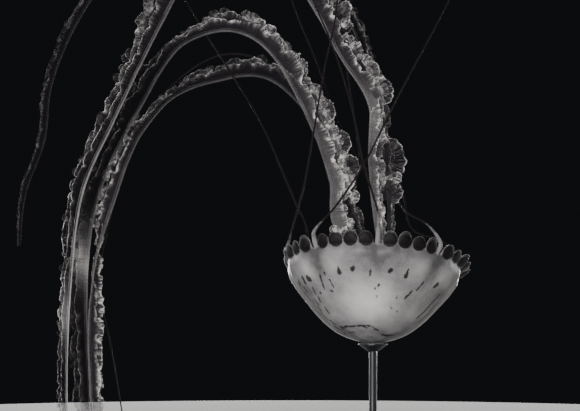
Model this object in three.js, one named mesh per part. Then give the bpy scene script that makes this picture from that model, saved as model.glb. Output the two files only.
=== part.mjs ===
// A purple-striped jellyfish, Chrysaora colorata, as a life-size still model on a display stand.
// It swims downwards: the bell is below with its mouth side up, the four frilled oral arms stream up
// out of it, arch over to the left and fall, and the eight tentacles trail between them.
//
// Millimetres, +Z up, the front faces -Y, +X is to the right. The origin is the foot of the stand's rod,
// on the underside of the base.

import * as THREE from "three";

// ---------------------------------------------------------------- driving dimensions

// The bell's outer face from its apex to its margin: [distance from the axis, height above the apex].
const BELL_FLANK = [
  [0, 0], [9, 0.6], [19, 3], [38, 11.5], [54, 25], [67.5, 41], [78, 55], [84.5, 66.5], [86, 75.5],
];
const BELL_TILT = THREE.MathUtils.degToRad(17.5); // the mouth side leans back
const BELL_ROLL = THREE.MathUtils.degToRad(3); // and to the right
const BELL_LOW = 118; // the bell's lowest point above the floor
const WALL_APEX = 13; // jelly thickness at the apex and at the margin
const WALL_MARGIN = 2.2;
const PILLOW = 0.05; // how far the margin swells between its furrows, as a share of its radius

const OCTANTS = 8; // one tentacle at each octant's edge
const OCTANT = (2 * Math.PI) / OCTANTS;
const LAPPETS_PER_OCTANT = 4;
const LAPPET_LENGTH = 14.5;
const LAPPET_NOTCH = 2.5; // the strip's length in the notch between two lappets
const LAPPET_WALL = 1.2;
const LAPPET_RISE = THREE.MathUtils.degToRad(68); // its slope above the plane of the margin
const LAPPET_FLARE = THREE.MathUtils.degToRad(38); // how much flatter it lies on the right side

const TENTACLE_ROOT = 2.6; // radii
const TENTACLE_SHAFT = 1.05;
const TENTACLE_TIP = 0.7;
const TENTACLE_SWELL = 38; // length over which the root thins to the shaft
const TENTACLE_LENGTHS = 3;
const TENTACLE_STEP = 24;
const TENTACLE_SIDES = 5;

const MOUTH_HEIGHT = 58; // top of the mouth column above the bell's apex
const MOUTH_RADIUS = 17;
const ARM_LENGTHS = 5;
const ARM_STEP = 11;
const ARM_RACHIS = 1.9; // half the thickness of the rib that the two wings grow from
const ARM_EDGE = 0.9; // thickness of a wing at its frilled edge
const WING_TURNED = [3, 6]; // so that the two faces of a wing are creased alike
const LOBE = 30; // length of one lobe of the frill
const RUFFLE = 41; // length of one wave across the frill
const RUFFLE_DEPTH = 0.24; // as a share of the wing's width
const WINGS = [
  { lean: THREE.MathUtils.degToRad(18), reach: 1.0, phase: 0.0 }, // the back wing is the wider one
  { lean: THREE.MathUtils.degToRad(-24), reach: 0.62, phase: 0.45 },
];

const GAP = 0.4; // between two pieces that meet

const BASE = { left: -175, right: 95, depth: 170, corner: 34, thickness: 9, chamfer: 1.5 };
const ROD_RADIUS = 4;
const CUP_RADIUS = 15;
const CUP_HEIGHT = 7;

// Each arm is a route of [x, y, z, width of its wings, turn of its wings in degrees] along its rib.
// With no turn the wings stand to the right of the way that the arm runs, as seen from the front.
const ARMS = {
  arm_1: {
    foot: [-9, -7],
    route: [
      [-39, -8, 238, 20, 0],
      [-43, -8, 282, 31, 0],
      [-64, -10, 341, 32, 0],
      [-106, -12, 413, 24, 0],
      [-142, -12, 431, 22, 0],
      [-190, -12, 417, 10, 0],
      [-231, -12, 357, 27, 0],
      [-274, -12, 266, 25, 0],
      [-286, -10, 181, 23, 0],
      [-282, -8, 60, 20, 0],
      [-280, -8, 16, 4, 0],
    ],
  },
  arm_2: {
    foot: [-8, 9],
    route: [
      [-24, 22, 246, 16, 0],
      [-42, 38, 301, 22, 0],
      [-73, 48, 360, 24, 0],
      [-111, 52, 388, 22, 0],
      [-157, 52, 384, 18, 0],
      [-201, 50, 367, 11, 0],
      [-237, 46, 325, 18, 0],
      [-263, 44, 258, 22, 20],
      [-280, 42, 202, 14, 90],
      [-286, 40, 142, 15, 170],
      [-284, 38, 60, 14, 180],
      [-280, 38, 20, 4, 180],
    ],
  },
  arm_3: {
    foot: [9, -6],
    route: [
      [2, 0, 241, 14, 0],
      [-2, 0, 276, 36, 0],
      [-3, 0, 308, 42, 0],
      [-3, 1, 332, 16, 0],
      [-2, 2, 352, 16, 0],
      [-12, 3, 374, 33, 0],
      [-30, 5, 400, 26, 0],
      [-65, 4, 464, 40, 0],
      [-110, -10, 523, 34, 0],
      [-160, -30, 527, 30, 0],
      [-196, -46, 462, 38, 0],
      [-226, -50, 404, 22, 0],
      [-256, -52, 341, 20, 0],
      [-287, -52, 271, 15, 0],
      [-299, -50, 181, 12, 0],
      [-303, -48, 70, 10, 0],
      [-300, -46, 22, 3, 0],
    ],
  },
  arm_4: {
    foot: [10, 8],
    route: [
      [17, 45, 246, 9, 0],
      [12, 62, 312, 14, 0],
      [0, 66, 384, 14, 0],
      [-37, 64, 476, 14, 0],
      [-97, 56, 553, 14, 0],
      [-178, 46, 560, 14, 0],
      [-250, 38, 508, 13, 0],
      [-296, 32, 446, 12, 0],
      [-324, 28, 378, 11, 0],
      [-331, 26, 322, 10, 0],
      [-350, 24, 267, 8, 0],
      [-355, 22, 216, 4, 0],
    ],
  },
};

// Each tentacle is a route of [x, y, z] from its root at the margin, which octant gives.
const TENTACLES = {
  tentacle_1: { octant: 0, route: [[3, -76, 247], [-4, -68, 274], [-11, -62, 298], [-21, -60, 346],
    [-36, -60, 398], [-60, -56, 457], [-90, -50, 520]] },
  tentacle_2: { octant: 1, route: [[54, -48, 236], [35, -30, 248], [22, 28, 266], [-11, 38, 301],
    [-35, 30, 343], [-57, 24, 403], [-80, 30, 461], [-90, 36, 505]] },
  tentacle_3: { octant: 2, route: [[74, 28, 218], [41, 72, 234], [33, 90, 271], [12, 96, 330],
    [-10, 94, 400], [-30, 86, 470], [-40, 84, 530]] },
  tentacle_4: { octant: 3, route: [[40, 74, 205], [23, 78, 231], [8, 82, 257], [-8, 72, 292],
    [-18, 60, 350], [-30, 46, 420], [-46, 40, 480]] },
  tentacle_5: { octant: 4, route: [[-11, 82, 231], [-38, 84, 292], [-64, 86, 352], [-104, 86, 402],
    [-150, 86, 412], [-198, 84, 386], [-240, 80, 330], [-266, 76, 250], [-278, 72, 176],
    [-266, 68, 112], [-252, 66, 30]] },
  tentacle_6: { octant: 5, route: [[-67, 48, 236], [-76, 40, 256], [-111, 24, 337], [-140, 20, 386],
    [-175, 20, 441], [-222, 14, 522]] },
  tentacle_7: { octant: 6, route: [[-82, -5, 229], [-68, -30, 281], [-59, -46, 333], [-49, -48, 392],
    [-38, -48, 444], [-36, -46, 500], [-44, -40, 556]] },
  tentacle_8: { octant: 7, route: [[-59, -57, 232], [-39, -54, 255], [-11, -45, 296], [23, -42, 363],
    [75, -36, 461], [108, -30, 536]] },
};

// ---------------------------------------------------------------- colours

const finish = (color, roughness, metalness = 0) =>
  new THREE.MeshStandardMaterial({ color, roughness, metalness });
const BELL_FINISH = finish(0xdcd8da, 0.35);
const MARGIN_FINISH = finish(0x4a3c44, 0.35);
const ARM_FINISH = finish(0xcfcacd, 0.4);
const TENTACLE_FINISH = finish(0x241a20, 0.45);
const STAND_FINISH = finish(0x2c2d30, 0.4, 0.7);

// ---------------------------------------------------------------- shape tools

const UP = new THREE.Vector3(0, 0, 1);
const AWAY = new THREE.Vector3(0, 1, 0);

// A closed solid through rings of points that all have the same count, with a flat cap on each end.
// The strips along the ring's points listed in turned have their diagonals the other way round.
function loft(rings, turned = []) {
  const count = rings[0].length;
  const faces = [];
  for (let i = 0; i + 1 < rings.length; i++) {
    for (let j = 0; j < count; j++) {
      const next = (j + 1) % count;
      const [a, b] = [i * count + j, i * count + next];
      if (turned.includes(j)) faces.push([a, b, a + count], [b, b + count, a + count]);
      else faces.push([a, b, b + count], [a, b + count, a + count]);
    }
  }
  const last = (rings.length - 1) * count;
  for (const [a, b, c] of capFaces(rings[0])) faces.push([c, b, a]);
  for (const [a, b, c] of capFaces(rings.at(-1))) faces.push([last + a, last + b, last + c]);
  const points = rings.flat();
  if (signedVolume(points, faces) < 0) faces.forEach((face) => face.reverse());
  const geometry = new THREE.BufferGeometry().setFromPoints(points);
  return geometry.setIndex(faces.flat());
}

// Triangles of a flat ring, which may be concave, wound as the ring is.
function capFaces(ring) {
  const centre = ring.reduce((sum, p) => sum.add(p), new THREE.Vector3()).divideScalar(ring.length);
  const normal = new THREE.Vector3();
  ring.forEach((p, i) => {
    const q = ring[(i + 1) % ring.length];
    normal.add(p.clone().sub(centre).cross(q.clone().sub(centre)));
  });
  normal.normalize();
  const across = new THREE.Vector3().crossVectors(Math.abs(normal.z) < 0.9 ? UP : AWAY, normal).normalize();
  const along = new THREE.Vector3().crossVectors(normal, across);
  const flat = ring.map((p) => new THREE.Vector2(p.dot(across), p.dot(along)));
  return THREE.ShapeUtils.triangulateShape(flat, []);
}

function signedVolume(points, faces) {
  return faces.reduce((sum, [a, b, c]) => sum + points[a].dot(points[b].clone().cross(points[c])), 0);
}

const mix = (a, b, t) => a + (b - a) * t;
const smooth = (low, high, x) => THREE.MathUtils.smoothstep(x, low, high);
const spaced = (low, high, steps) => Array.from({ length: steps + 1 }, (_, i) => mix(low, high, i / steps));

function named(name, geometry, material) {
  const mesh = new THREE.Mesh(geometry, material);
  mesh.name = name;
  return mesh;
}

// ---------------------------------------------------------------- bell

const lean = new THREE.Euler(-BELL_TILT, BELL_ROLL, 0, "YXZ");
const AXIS = UP.clone().applyEuler(lean); // from the apex to the mouth side
const ACROSS = new THREE.Vector3(1, 0, 0).applyEuler(lean);
const BACK = AWAY.clone().applyEuler(lean);

const FLANK = new THREE.SplineCurve(BELL_FLANK.map(([r, h]) => new THREE.Vector2(r, h)));
const MARGIN_RADIUS = BELL_FLANK.at(-1)[0];

// The apex stands where it puts the bell's lowest point on the stand's axis.
const APEX = (() => {
  const downhill = AXIS.clone().multiplyScalar(AXIS.z).sub(UP).normalize();
  const outer = FLANK.getPoints(400);
  const offsets = outer.map(({ x, y }) => downhill.clone().multiplyScalar(x).addScaledVector(AXIS, y));
  const lowest = offsets.reduce((low, point) => (point.z < low.z ? point : low));
  return new THREE.Vector3(0, 0, BELL_LOW).sub(lowest);
})();

// A point by its angle from the front, its distance from the axis and its height above the apex.
function inBell(angle, radius, height) {
  return APEX.clone()
    .addScaledVector(ACROSS, radius * Math.sin(angle))
    .addScaledVector(BACK, -radius * Math.cos(angle))
    .addScaledVector(AXIS, height);
}

// The margin swells into two pillows in each octant, with a deep furrow at the tentacle and a shallow one
// at the sense organ between them.
function swelling(angle, u) {
  const pillows = 0.6 * Math.abs(Math.sin(OCTANTS * angle)) + 0.2 * (1 - Math.cos(OCTANTS * angle));
  return 1 + PILLOW * smooth(0.4, 1, u) * (pillows - 0.45);
}

// [radius, height] of the wall at share u of the flank, sunk by depth below the outer face.
function wall(angle, u, depth) {
  const { x, y } = FLANK.getPoint(u);
  const slope = FLANK.getTangent(u);
  return [x * swelling(angle, u) - depth * slope.y, y + depth * slope.x];
}

const wallThickness = (u) => mix(WALL_APEX, WALL_MARGIN, u ** 0.8);
const FLOOR = 0.27; // the share of the flank where the hollow's level floor begins

function bell() {
  const sides = 64;
  const angles = spaced(0, 2 * Math.PI, sides).slice(0, sides);
  const ring = (u, depth) => angles.map((angle) => inBell(angle, ...wall(angle, u, depth)));
  const outer = [0.08, 0.31, 0.5, 0.69, 0.87, 1];
  const inner = [1, 0.8, 0.6, 0.42, FLOOR];
  return loft([...outer.map((u) => ring(u, 0)), ...inner.map((u) => ring(u, wallThickness(u)))]);
}

// ---------------------------------------------------------------- margin: four lappets in each octant

const LAPPET_WAY = (angle) => {
  const right = Math.atan2(Math.sin(angle - 1.6), Math.cos(angle - 1.6));
  return LAPPET_RISE - LAPPET_FLARE * Math.exp(-((right / 0.5) ** 2));
};

// A flap point at share w of its length, sunk by depth below its outer face.
function flap(angle, length, w, depth) {
  const [radius, height] = wall(angle, 1, 0);
  const rise = LAPPET_WAY(angle);
  const out = GAP + length * w;
  const bulge = 0.5 * w * (1 - w) * length;
  const r = radius + out * Math.cos(rise) + bulge * Math.sin(rise) - depth * Math.sin(rise);
  const h = height + out * Math.sin(rise) - bulge * Math.cos(rise) + depth * Math.cos(rise);
  return inBell(angle, r, h);
}

function marginOctant(octant) {
  const notch = (TENTACLE_ROOT + 1.6) / MARGIN_RADIUS; // room for the tentacle's root
  const steps = LAPPETS_PER_OCTANT * 4;
  const [from, to] = [octant * OCTANT + notch, (octant + 1) * OCTANT - notch];
  return loft(
    spaced(0, 1, steps).map((share) => {
      const u = ((share * LAPPETS_PER_OCTANT) % 1) * 2 - 1;
      const index = octant * LAPPETS_PER_OCTANT + Math.floor(share * LAPPETS_PER_OCTANT);
      const round = Math.sqrt(Math.max(0, 1 - u * u));
      const length = mix(LAPPET_NOTCH, LAPPET_LENGTH * (1 + 0.1 * Math.sin(2.4 * index)), round);
      const angle = mix(from, to, share);
      return [
        flap(angle, length, 0, 0),
        flap(angle, length, 0.55, 0),
        flap(angle, length, 1, 0),
        flap(angle, length, 1, 0.8 * LAPPET_WALL),
        flap(angle, length, 0, 1.2 * LAPPET_WALL),
      ];
    }),
  );
}

// ---------------------------------------------------------------- routes

// A smooth curve through the route, with what else its points hold read at any distance along it.
function routed(points) {
  const curve = new THREE.CatmullRomCurve3(points.map(([x, y, z]) => new THREE.Vector3(x, y, z)));
  curve.arcLengthDivisions = 400;
  const length = curve.getLength();
  return {
    length,
    at(distance) {
      const t = curve.getUtoTmapping(0, Math.min(distance, length));
      const place = Math.min(t * (points.length - 1), points.length - 1 - 1e-9);
      const i = Math.floor(place);
      const rest = points[i].slice(3).map((v, k) => mix(v, points[i + 1][k + 3], smooth(0, 1, place - i)));
      return { point: curve.getPoint(t), tangent: curve.getTangent(t), rest };
    },
  };
}

// Two directions across the tangent: the first lies in the view from the front, to the right of the way.
function crossWays(tangent, turn = 0) {
  const right = new THREE.Vector3().crossVectors(AWAY, tangent).normalize();
  const behind = new THREE.Vector3().crossVectors(tangent, right);
  const [c, s] = [Math.cos(turn), Math.sin(turn)];
  return [
    right.clone().multiplyScalar(c).addScaledVector(behind, s),
    behind.clone().multiplyScalar(c).addScaledVector(right, -s),
  ];
}

// The distances at which one of several equal lengths is cut across.
function lengthSteps(total, parts, index, step) {
  const from = (total * index) / parts + (index > 0 ? GAP / 2 : 0);
  const to = (total * (index + 1)) / parts - (index + 1 < parts ? GAP / 2 : 0);
  return spaced(from, to, Math.max(3, Math.round((to - from) / step)));
}

// ---------------------------------------------------------------- tentacles

function tentacleRadius(distance, total) {
  const shaft = mix(TENTACLE_SHAFT, TENTACLE_TIP, distance / total);
  return mix(TENTACLE_ROOT, shaft, smooth(0, TENTACLE_SWELL, distance));
}

function tentacle(name, { octant, route }) {
  const angle = octant * OCTANT;
  const root = flap(angle, LAPPET_LENGTH, 0.06, LAPPET_WALL);
  const bud = flap(angle, LAPPET_LENGTH, 0.8, 2 * LAPPET_WALL);
  const way = routed([root.toArray(), bud.toArray(), ...route]);
  return spaced(0, TENTACLE_LENGTHS - 1, TENTACLE_LENGTHS - 1).map((part) => {
    const rings = lengthSteps(way.length, TENTACLE_LENGTHS, part, TENTACLE_STEP).map((distance) => {
      const { point, tangent } = way.at(distance);
      const [right, behind] = crossWays(tangent);
      const radius = tentacleRadius(distance, way.length);
      return spaced(0, 2 * Math.PI, TENTACLE_SIDES)
        .slice(1)
        .map((a) =>
          point
            .clone()
            .addScaledVector(right, radius * Math.cos(a))
            .addScaledVector(behind, radius * Math.sin(a)),
        );
    });
    return named(`${name}_${["root", "shaft", "tip"][part]}`, loft(rings), TENTACLE_FINISH);
  });
}

// ---------------------------------------------------------------- mouth column and oral arms

function mouthColumn() {
  const sides = 16;
  const ring = (height, radius, cleft) =>
    spaced(0, 2 * Math.PI, sides)
      .slice(1)
      .map((a) => inBell(a, radius * (1 - cleft * Math.cos(4 * a)), height));
  const foot = wall(0, FLOOR, wallThickness(FLOOR))[1] + GAP;
  return loft([
    ring(foot, MOUTH_RADIUS * 0.9, 0),
    ring(foot + 8, MOUTH_RADIUS * 0.72, 0.1),
    ring(mix(foot, MOUTH_HEIGHT, 0.6), MOUTH_RADIUS * 0.8, 0.16),
    ring(MOUTH_HEIGHT, MOUTH_RADIUS, 0.2),
  ]);
}

// The outline of an arm across its rib: two thin wings that open like a leaf folded along its midrib.
// Each wing waves from side to side and its width swells into lobes.
function armSection({ point, tangent, rest }, distance) {
  const [width, turn] = rest;
  const [out, side] = crossWays(tangent, THREE.MathUtils.degToRad(turn));
  const rib = ARM_RACHIS * Math.min(1, width / 14);
  const edge = Math.min(ARM_EDGE, rib) / 2;
  const wing = ({ lean, reach, phase }, offset) => {
    const lobe = 0.65 + 0.45 * Math.abs(Math.sin(Math.PI * (distance / LOBE + phase)));
    const size = 1.5 * rib + (width - rib) * reach * lobe;
    const wave = Math.sin(2 * Math.PI * (distance / RUFFLE + phase));
    const sway = RUFFLE_DEPTH * width * reach * wave + offset;
    const [c, s] = [Math.cos(lean), Math.sin(lean)];
    return point
      .clone()
      .addScaledVector(out, size * c - sway * s)
      .addScaledVector(side, size * s + sway * c);
  };
  const [back, front] = WINGS;
  return [
    wing(back, edge),
    point.clone().addScaledVector(side, rib),
    point.clone().addScaledVector(out, -rib),
    point.clone().addScaledVector(side, -rib),
    wing(front, -edge),
    wing(front, edge),
    point.clone().addScaledVector(out, rib),
    wing(back, -edge),
  ];
}

function oralArm(name, { foot, route }) {
  const spread = Math.hypot(...foot);
  const angle = Math.atan2(foot[0], -foot[1]);
  const start = [GAP, 12].map((rise) => [...inBell(angle, spread, MOUTH_HEIGHT + rise).toArray(), 7, 0]);
  const way = routed([...start, ...route]);
  return spaced(0, ARM_LENGTHS - 1, ARM_LENGTHS - 1).map((part) => {
    const steps = lengthSteps(way.length, ARM_LENGTHS, part, ARM_STEP);
    const rings = steps.map((distance) => armSection(way.at(distance), distance));
    return named(`${name}_length_${part + 1}`, loft(rings, WING_TURNED), ARM_FINISH);
  });
}

// ---------------------------------------------------------------- stand

function stand() {
  const { left, right, depth, corner, thickness, chamfer } = BASE;
  const [w, d] = [right - left - 2 * chamfer, depth - 2 * chamfer];
  const plate = new THREE.Shape();
  const [x, y] = [w / 2, d / 2];
  plate.moveTo(-x + corner, -y).lineTo(x - corner, -y);
  plate.absarc(x - corner, -y + corner, corner, -Math.PI / 2, 0);
  plate.lineTo(x, y - corner).absarc(x - corner, y - corner, corner, 0, Math.PI / 2);
  plate.lineTo(-x + corner, y).absarc(-x + corner, y - corner, corner, Math.PI / 2, Math.PI);
  plate.lineTo(-x, -y + corner).absarc(-x + corner, -y + corner, corner, Math.PI, Math.PI * 1.5);
  const base = new THREE.ExtrudeGeometry(plate, {
    depth: thickness - 2 * chamfer,
    bevelThickness: chamfer,
    bevelSize: chamfer,
    bevelSegments: 1,
    curveSegments: 3,
  });
  base.translate((left + right) / 2, 0, chamfer);

  const cupFoot = BELL_LOW - CUP_HEIGHT;
  const rodHeight = cupFoot - GAP - (thickness + GAP);
  const rod = new THREE.CylinderGeometry(ROD_RADIUS, ROD_RADIUS, rodHeight, 16);
  rod.rotateX(Math.PI / 2).translate(0, 0, thickness + GAP + rodHeight / 2);

  // The cup's dish follows the bell's underside, which curves up from its lowest point.
  const dish = (r) => CUP_HEIGHT - GAP + 0.011 * r * r;
  const profile = [[0, 0], [ROD_RADIUS + 1.5, 0], [CUP_RADIUS, dish(CUP_RADIUS) - 2.4],
    [CUP_RADIUS, dish(CUP_RADIUS) - 1.6], [CUP_RADIUS * 0.6, dish(CUP_RADIUS * 0.6) - 1.1], [0, dish(0)]];
  const cup = new THREE.LatheGeometry(profile.map(([r, h]) => new THREE.Vector2(r, h)), 18);
  cup.rotateX(Math.PI / 2).translate(0, 0, cupFoot);
  return [
    named("stand_base", base, STAND_FINISH),
    named("stand_rod", rod, STAND_FINISH),
    named("stand_cup", cup, STAND_FINISH),
  ];
}

// ---------------------------------------------------------------- the whole model

const jellyfish = new THREE.Group();
jellyfish.add(named("bell", bell(), BELL_FINISH));
for (let octant = 0; octant < OCTANTS; octant++) {
  jellyfish.add(named(`margin_${octant + 1}`, marginOctant(octant), MARGIN_FINISH));
}
jellyfish.add(named("mouth_column", mouthColumn(), ARM_FINISH));
for (const [name, arm] of Object.entries(ARMS)) jellyfish.add(...oralArm(name, arm));
for (const [name, each] of Object.entries(TENTACLES)) jellyfish.add(...tentacle(name, each));
jellyfish.add(...stand());

export default jellyfish;
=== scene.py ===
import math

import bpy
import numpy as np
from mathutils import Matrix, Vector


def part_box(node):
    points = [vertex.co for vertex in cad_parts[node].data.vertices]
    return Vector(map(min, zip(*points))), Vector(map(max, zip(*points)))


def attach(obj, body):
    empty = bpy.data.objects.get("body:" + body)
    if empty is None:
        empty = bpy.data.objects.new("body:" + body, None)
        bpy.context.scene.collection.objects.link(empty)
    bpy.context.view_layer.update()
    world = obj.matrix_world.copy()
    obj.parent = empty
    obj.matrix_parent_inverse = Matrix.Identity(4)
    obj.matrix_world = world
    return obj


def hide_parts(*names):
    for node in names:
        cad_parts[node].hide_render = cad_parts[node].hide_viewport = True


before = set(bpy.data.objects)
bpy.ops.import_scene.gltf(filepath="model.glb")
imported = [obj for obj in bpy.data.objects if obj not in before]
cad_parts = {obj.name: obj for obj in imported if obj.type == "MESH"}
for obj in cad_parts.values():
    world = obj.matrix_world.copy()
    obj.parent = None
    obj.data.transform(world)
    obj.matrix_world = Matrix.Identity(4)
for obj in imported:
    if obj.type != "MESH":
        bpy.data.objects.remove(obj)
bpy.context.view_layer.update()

# %% [markdown]
# # A purple-striped jellyfish on a display stand
#
# The animal is Chrysaora colorata, half grown, swimming bell down. A jellyfish is nearly all water, so
# almost everything that the eye reads as its shape is light: thin veils that let the dark behind them
# through, and folds, ribs and frilled edges where the veil is doubled or dense and turns milky.
#
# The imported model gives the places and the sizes. Its solids are stood in for here by four kinds of skin:
# the bell with its lappets, the mouth column, the four frilled arms and the eight tentacles. Each is a
# surface that is worked out as whole arrays, and each carries attributes, numbers at every vertex, that say
# how dense, how dark or how frilled it is there. The materials read those numbers.

MM = 0.001  # Blender counts in metres
bell_low, bell_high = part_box("bell")

# %% [markdown]
# ## The camera
#
# The camera stands level in front of the animal and well back, behind a long lens, so that the near and the
# far side of the bell keep the same scale. The view is 580 mm wide where the bell hangs. It holds the bell
# at the lower right and cuts off the arms' arch above and their tips below.

# %% Camera
VIEW_WIDTH = 0.58
CAMERA_DISTANCE = 3.0
SENSOR = 36.0  # millimetres wide
VIEW_CENTRE = (-0.083, 0.138)  # of the view, from the bell's lowest point: to the right, and up

eye = bpy.data.cameras.new("view_camera")
eye.sensor_width = SENSOR
eye.lens = SENSOR * CAMERA_DISTANCE / VIEW_WIDTH
camera = bpy.data.objects.new("view_camera", eye)
camera.location = (VIEW_CENTRE[0], -CAMERA_DISTANCE, bell_low.z + VIEW_CENTRE[1])
camera.rotation_euler = (math.radians(90), 0, 0)
bpy.context.collection.objects.link(camera)
bpy.context.scene.camera = camera
print(f"lens {eye.lens:.0f} mm at {CAMERA_DISTANCE} m")

# %% [markdown]
# ## Helpers for curves
#
# Every arm and tentacle follows a given route, a few points that a smooth curve runs through. The
# curve is the centripetal Catmull-Rom spline: between two points it is a cubic whose slope at each end
# leans on the neighbours, and counting each gap by the root of its length keeps it from looping where
# points are close.

# %% Easing and mixing
def smooth(low, high, x):
    """0 at low and before it, 1 at high and beyond, and between them 3t² - 2t³ of the share t. high may be
    the smaller of the two."""
    t = np.clip((x - low) / (high - low), 0, 1)
    return t * t * (3 - 2 * t)


def mix(a, b, t):
    """a where t is 0, b where t is 1, and a straight change between."""
    return a + (b - a) * t


print(f"a quarter of the way, smooth has gone {smooth(0, 1, 0.25):.0%}")


# %% Curves through points
FINE_PLACES = 4000  # where a curve is read to measure its length


def through(points, places, power=0.5):
    """The Catmull-Rom curve through the points, read at places that count the points: 2.5 is halfway from
    the third to the fourth. Each gap counts as its length to the power given."""
    points = np.asarray(points, float)
    before, after = 2 * points[:1] - points[1:2], 2 * points[-1:] - points[-2:-1]
    p = np.concatenate([before, points, after])
    i = np.clip(np.floor(places).astype(int), 0, len(points) - 2)
    t = (places - i)[:, None]
    a, b, c, d = p[i], p[i + 1], p[i + 2], p[i + 3]
    ab, bc, cd = (np.linalg.norm(r - q, axis=1, keepdims=True) ** power for q, r in ((a, b), (b, c), (c, d)))
    leave = ((b - a) / ab - (c - a) / (ab + bc) + (c - b) / bc) * bc
    reach = ((c - b) / bc - (d - b) / (bc + cd) + (d - c) / cd) * bc
    return b + leave * t + (3 * (c - b) - 2 * leave - reach) * t**2 + (2 * (b - c) + leave + reach) * t**3


def unit(vectors):
    """The vectors, each divided by its length. Nothing is divided by less than a tiny number."""
    return vectors / np.maximum(np.linalg.norm(vectors, axis=-1, keepdims=True), 1e-12)


def routed(points, step):
    """Even steps along the curve through the points: how far each is along it, its place, the way the curve
    runs there, and what else the points hold, eased from each point to the next."""
    points = np.asarray(points, float)
    places = np.linspace(0, len(points) - 1, FINE_PLACES)
    fine = through(points[:, :3], places)
    gone = np.concatenate([[0], np.cumsum(np.linalg.norm(np.diff(fine, axis=0), axis=1))])
    distance = np.linspace(0, gone[-1], int(gone[-1] / step) + 1)
    place = np.interp(distance, gone, places)
    centre = through(points[:, :3], place)
    way = unit(np.gradient(centre, distance, axis=0))
    i = np.minimum(place.astype(int), len(points) - 2)
    rest = mix(points[i, 3:], points[i + 1, 3:], smooth(0, 1, place - i)[:, None])
    return distance, centre, way, rest


def across(way, turn):
    """Two directions across a curve. With no turn the first lies in the view from the front, to the right
    of the way that the curve runs, and the second points to the back; turn rolls both about the curve."""
    right = unit(np.cross((0.0, 1.0, 0.0), way))
    behind = np.cross(way, right)
    c, s = np.cos(turn)[:, None], np.sin(turn)[:, None]
    return right * c + behind * s, behind * c - right * s


def wander(x, length, rng):
    """A smooth random line between -1 and 1: a new random value every length, eased from one to the
    next."""
    values = rng.uniform(-1, 1, int((x.max() - x.min()) / length) + 3)
    place = (x - x.min()) / length
    i = place.astype(int)
    return mix(values[i], values[i + 1], smooth(0, 1, place - i))


corner = through([[0, 0, 0], [10, 0, 0], [10, 10, 0]], np.array([0.5, 1.5])).round(1)
print(f"round a corner, the curve bulges to {corner[0]} and {corner[1]}")

# %% [markdown]
# ## Helpers for meshes
#
# A skin is a tube of rings. All rings have the same number of points, so the whole surface is one array of
# rows and columns, and its faces follow from counting. Each end closes on a single point. The sum of the
# little tetrahedra from the origin to each face gives the enclosed volume: where it comes out negative, the
# faces look inwards and are turned round.

# %% Faces between rings of points
def tube_faces(tubes, rows, columns):
    """Corners of the four-sided faces between the rings, and of the triangles that close the ends. The
    points are counted ring by ring and tube by tube, then each tube's start point, then each tube's end
    point."""
    tube, row, column = np.meshgrid(np.arange(tubes), np.arange(rows - 1), np.arange(columns), indexing="ij")
    first = (tube * rows + row) * columns
    here, there = first + column, first + (column + 1) % columns
    quads = np.stack([here, there, there + columns, here + columns], -1).reshape(-1, 4)
    tube, column = np.meshgrid(np.arange(tubes), np.arange(columns), indexing="ij")
    turned = (column + 1) % columns
    first, last = tube * rows * columns, ((tube + 1) * rows - 1) * columns
    cap = tubes * rows * columns + tube
    start = np.stack([first + turned, first + column, cap], -1)
    end = np.stack([last + column, last + turned, cap + tubes], -1)
    return quads, np.concatenate([start, end]).reshape(-1, 3)


print("quads and triangles of 3 rings of 4 points:", *(len(faces) for faces in tube_faces(1, 3, 4)))


# %% A piece from rings of points
def skin(name, rings, attributes, material, nodes, uv=None):
    """A closed, smooth-shaded piece from an array of rings, rows by columns by 3, or from several such
    tubes. Each attribute and each of the two parts of uv has one number for every ring point. The piece
    rides on the root and stands for the nodes."""
    rings = rings.reshape(-1, *rings.shape[-3:])
    tubes, rows, columns = rings.shape[:3]
    points = np.concatenate([rings.reshape(-1, 3), rings[:, 0].mean(1), rings[:, -1].mean(1)])
    quads, triangles = tube_faces(tubes, rows, columns)
    a, b, c = (points[quads[:, k]] for k in range(3))
    if np.einsum("ij,ij->i", a, np.cross(b, c)).sum() < 0:
        quads, triangles = quads[:, ::-1], triangles[:, ::-1]
    mesh = bpy.data.meshes.new(name)
    mesh.from_pydata(points, [], quads.tolist() + triangles.tolist())
    mesh.polygons.foreach_set("use_smooth", np.ones(len(mesh.polygons), bool))

    def with_ends(values):
        """One number for every ring point, then for each end point the mean of its ring."""
        values = values.reshape(tubes, rows, columns)
        ends = values[:, 0].mean(1), values[:, -1].mean(1)
        return np.concatenate([values.ravel(), *ends]).astype(np.float32)

    for key, values in attributes.items():
        mesh.attributes.new(key, "FLOAT", "POINT").data.foreach_set("value", with_ends(values))
    if uv is not None:
        corner = np.empty(len(mesh.loops), np.int32)
        mesh.loops.foreach_get("vertex_index", corner)
        flat = np.stack([with_ends(part)[corner] for part in uv], -1)
        mesh.uv_layers.new(name="Lie").data.foreach_set("uv", flat.ravel())
    mesh.materials.append(material)
    piece = bpy.data.objects.new(name, mesh)
    bpy.context.collection.objects.link(piece)
    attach(piece, "root")
    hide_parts(*nodes)
    print(f"{name}: {len(points)} points, {2 * len(quads) + len(triangles)} triangles")
    return piece


# %% [markdown]
# ## Helpers for materials
#
# Colours are written as sRGB hex, the way that a colour picker shows them, and turned to the linear values
# that light is added up in. One function adds a node, with its settings and with what is plugged into it.
# The kinds of node that come back again and again get a short name, and so do three of their settings.

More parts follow.
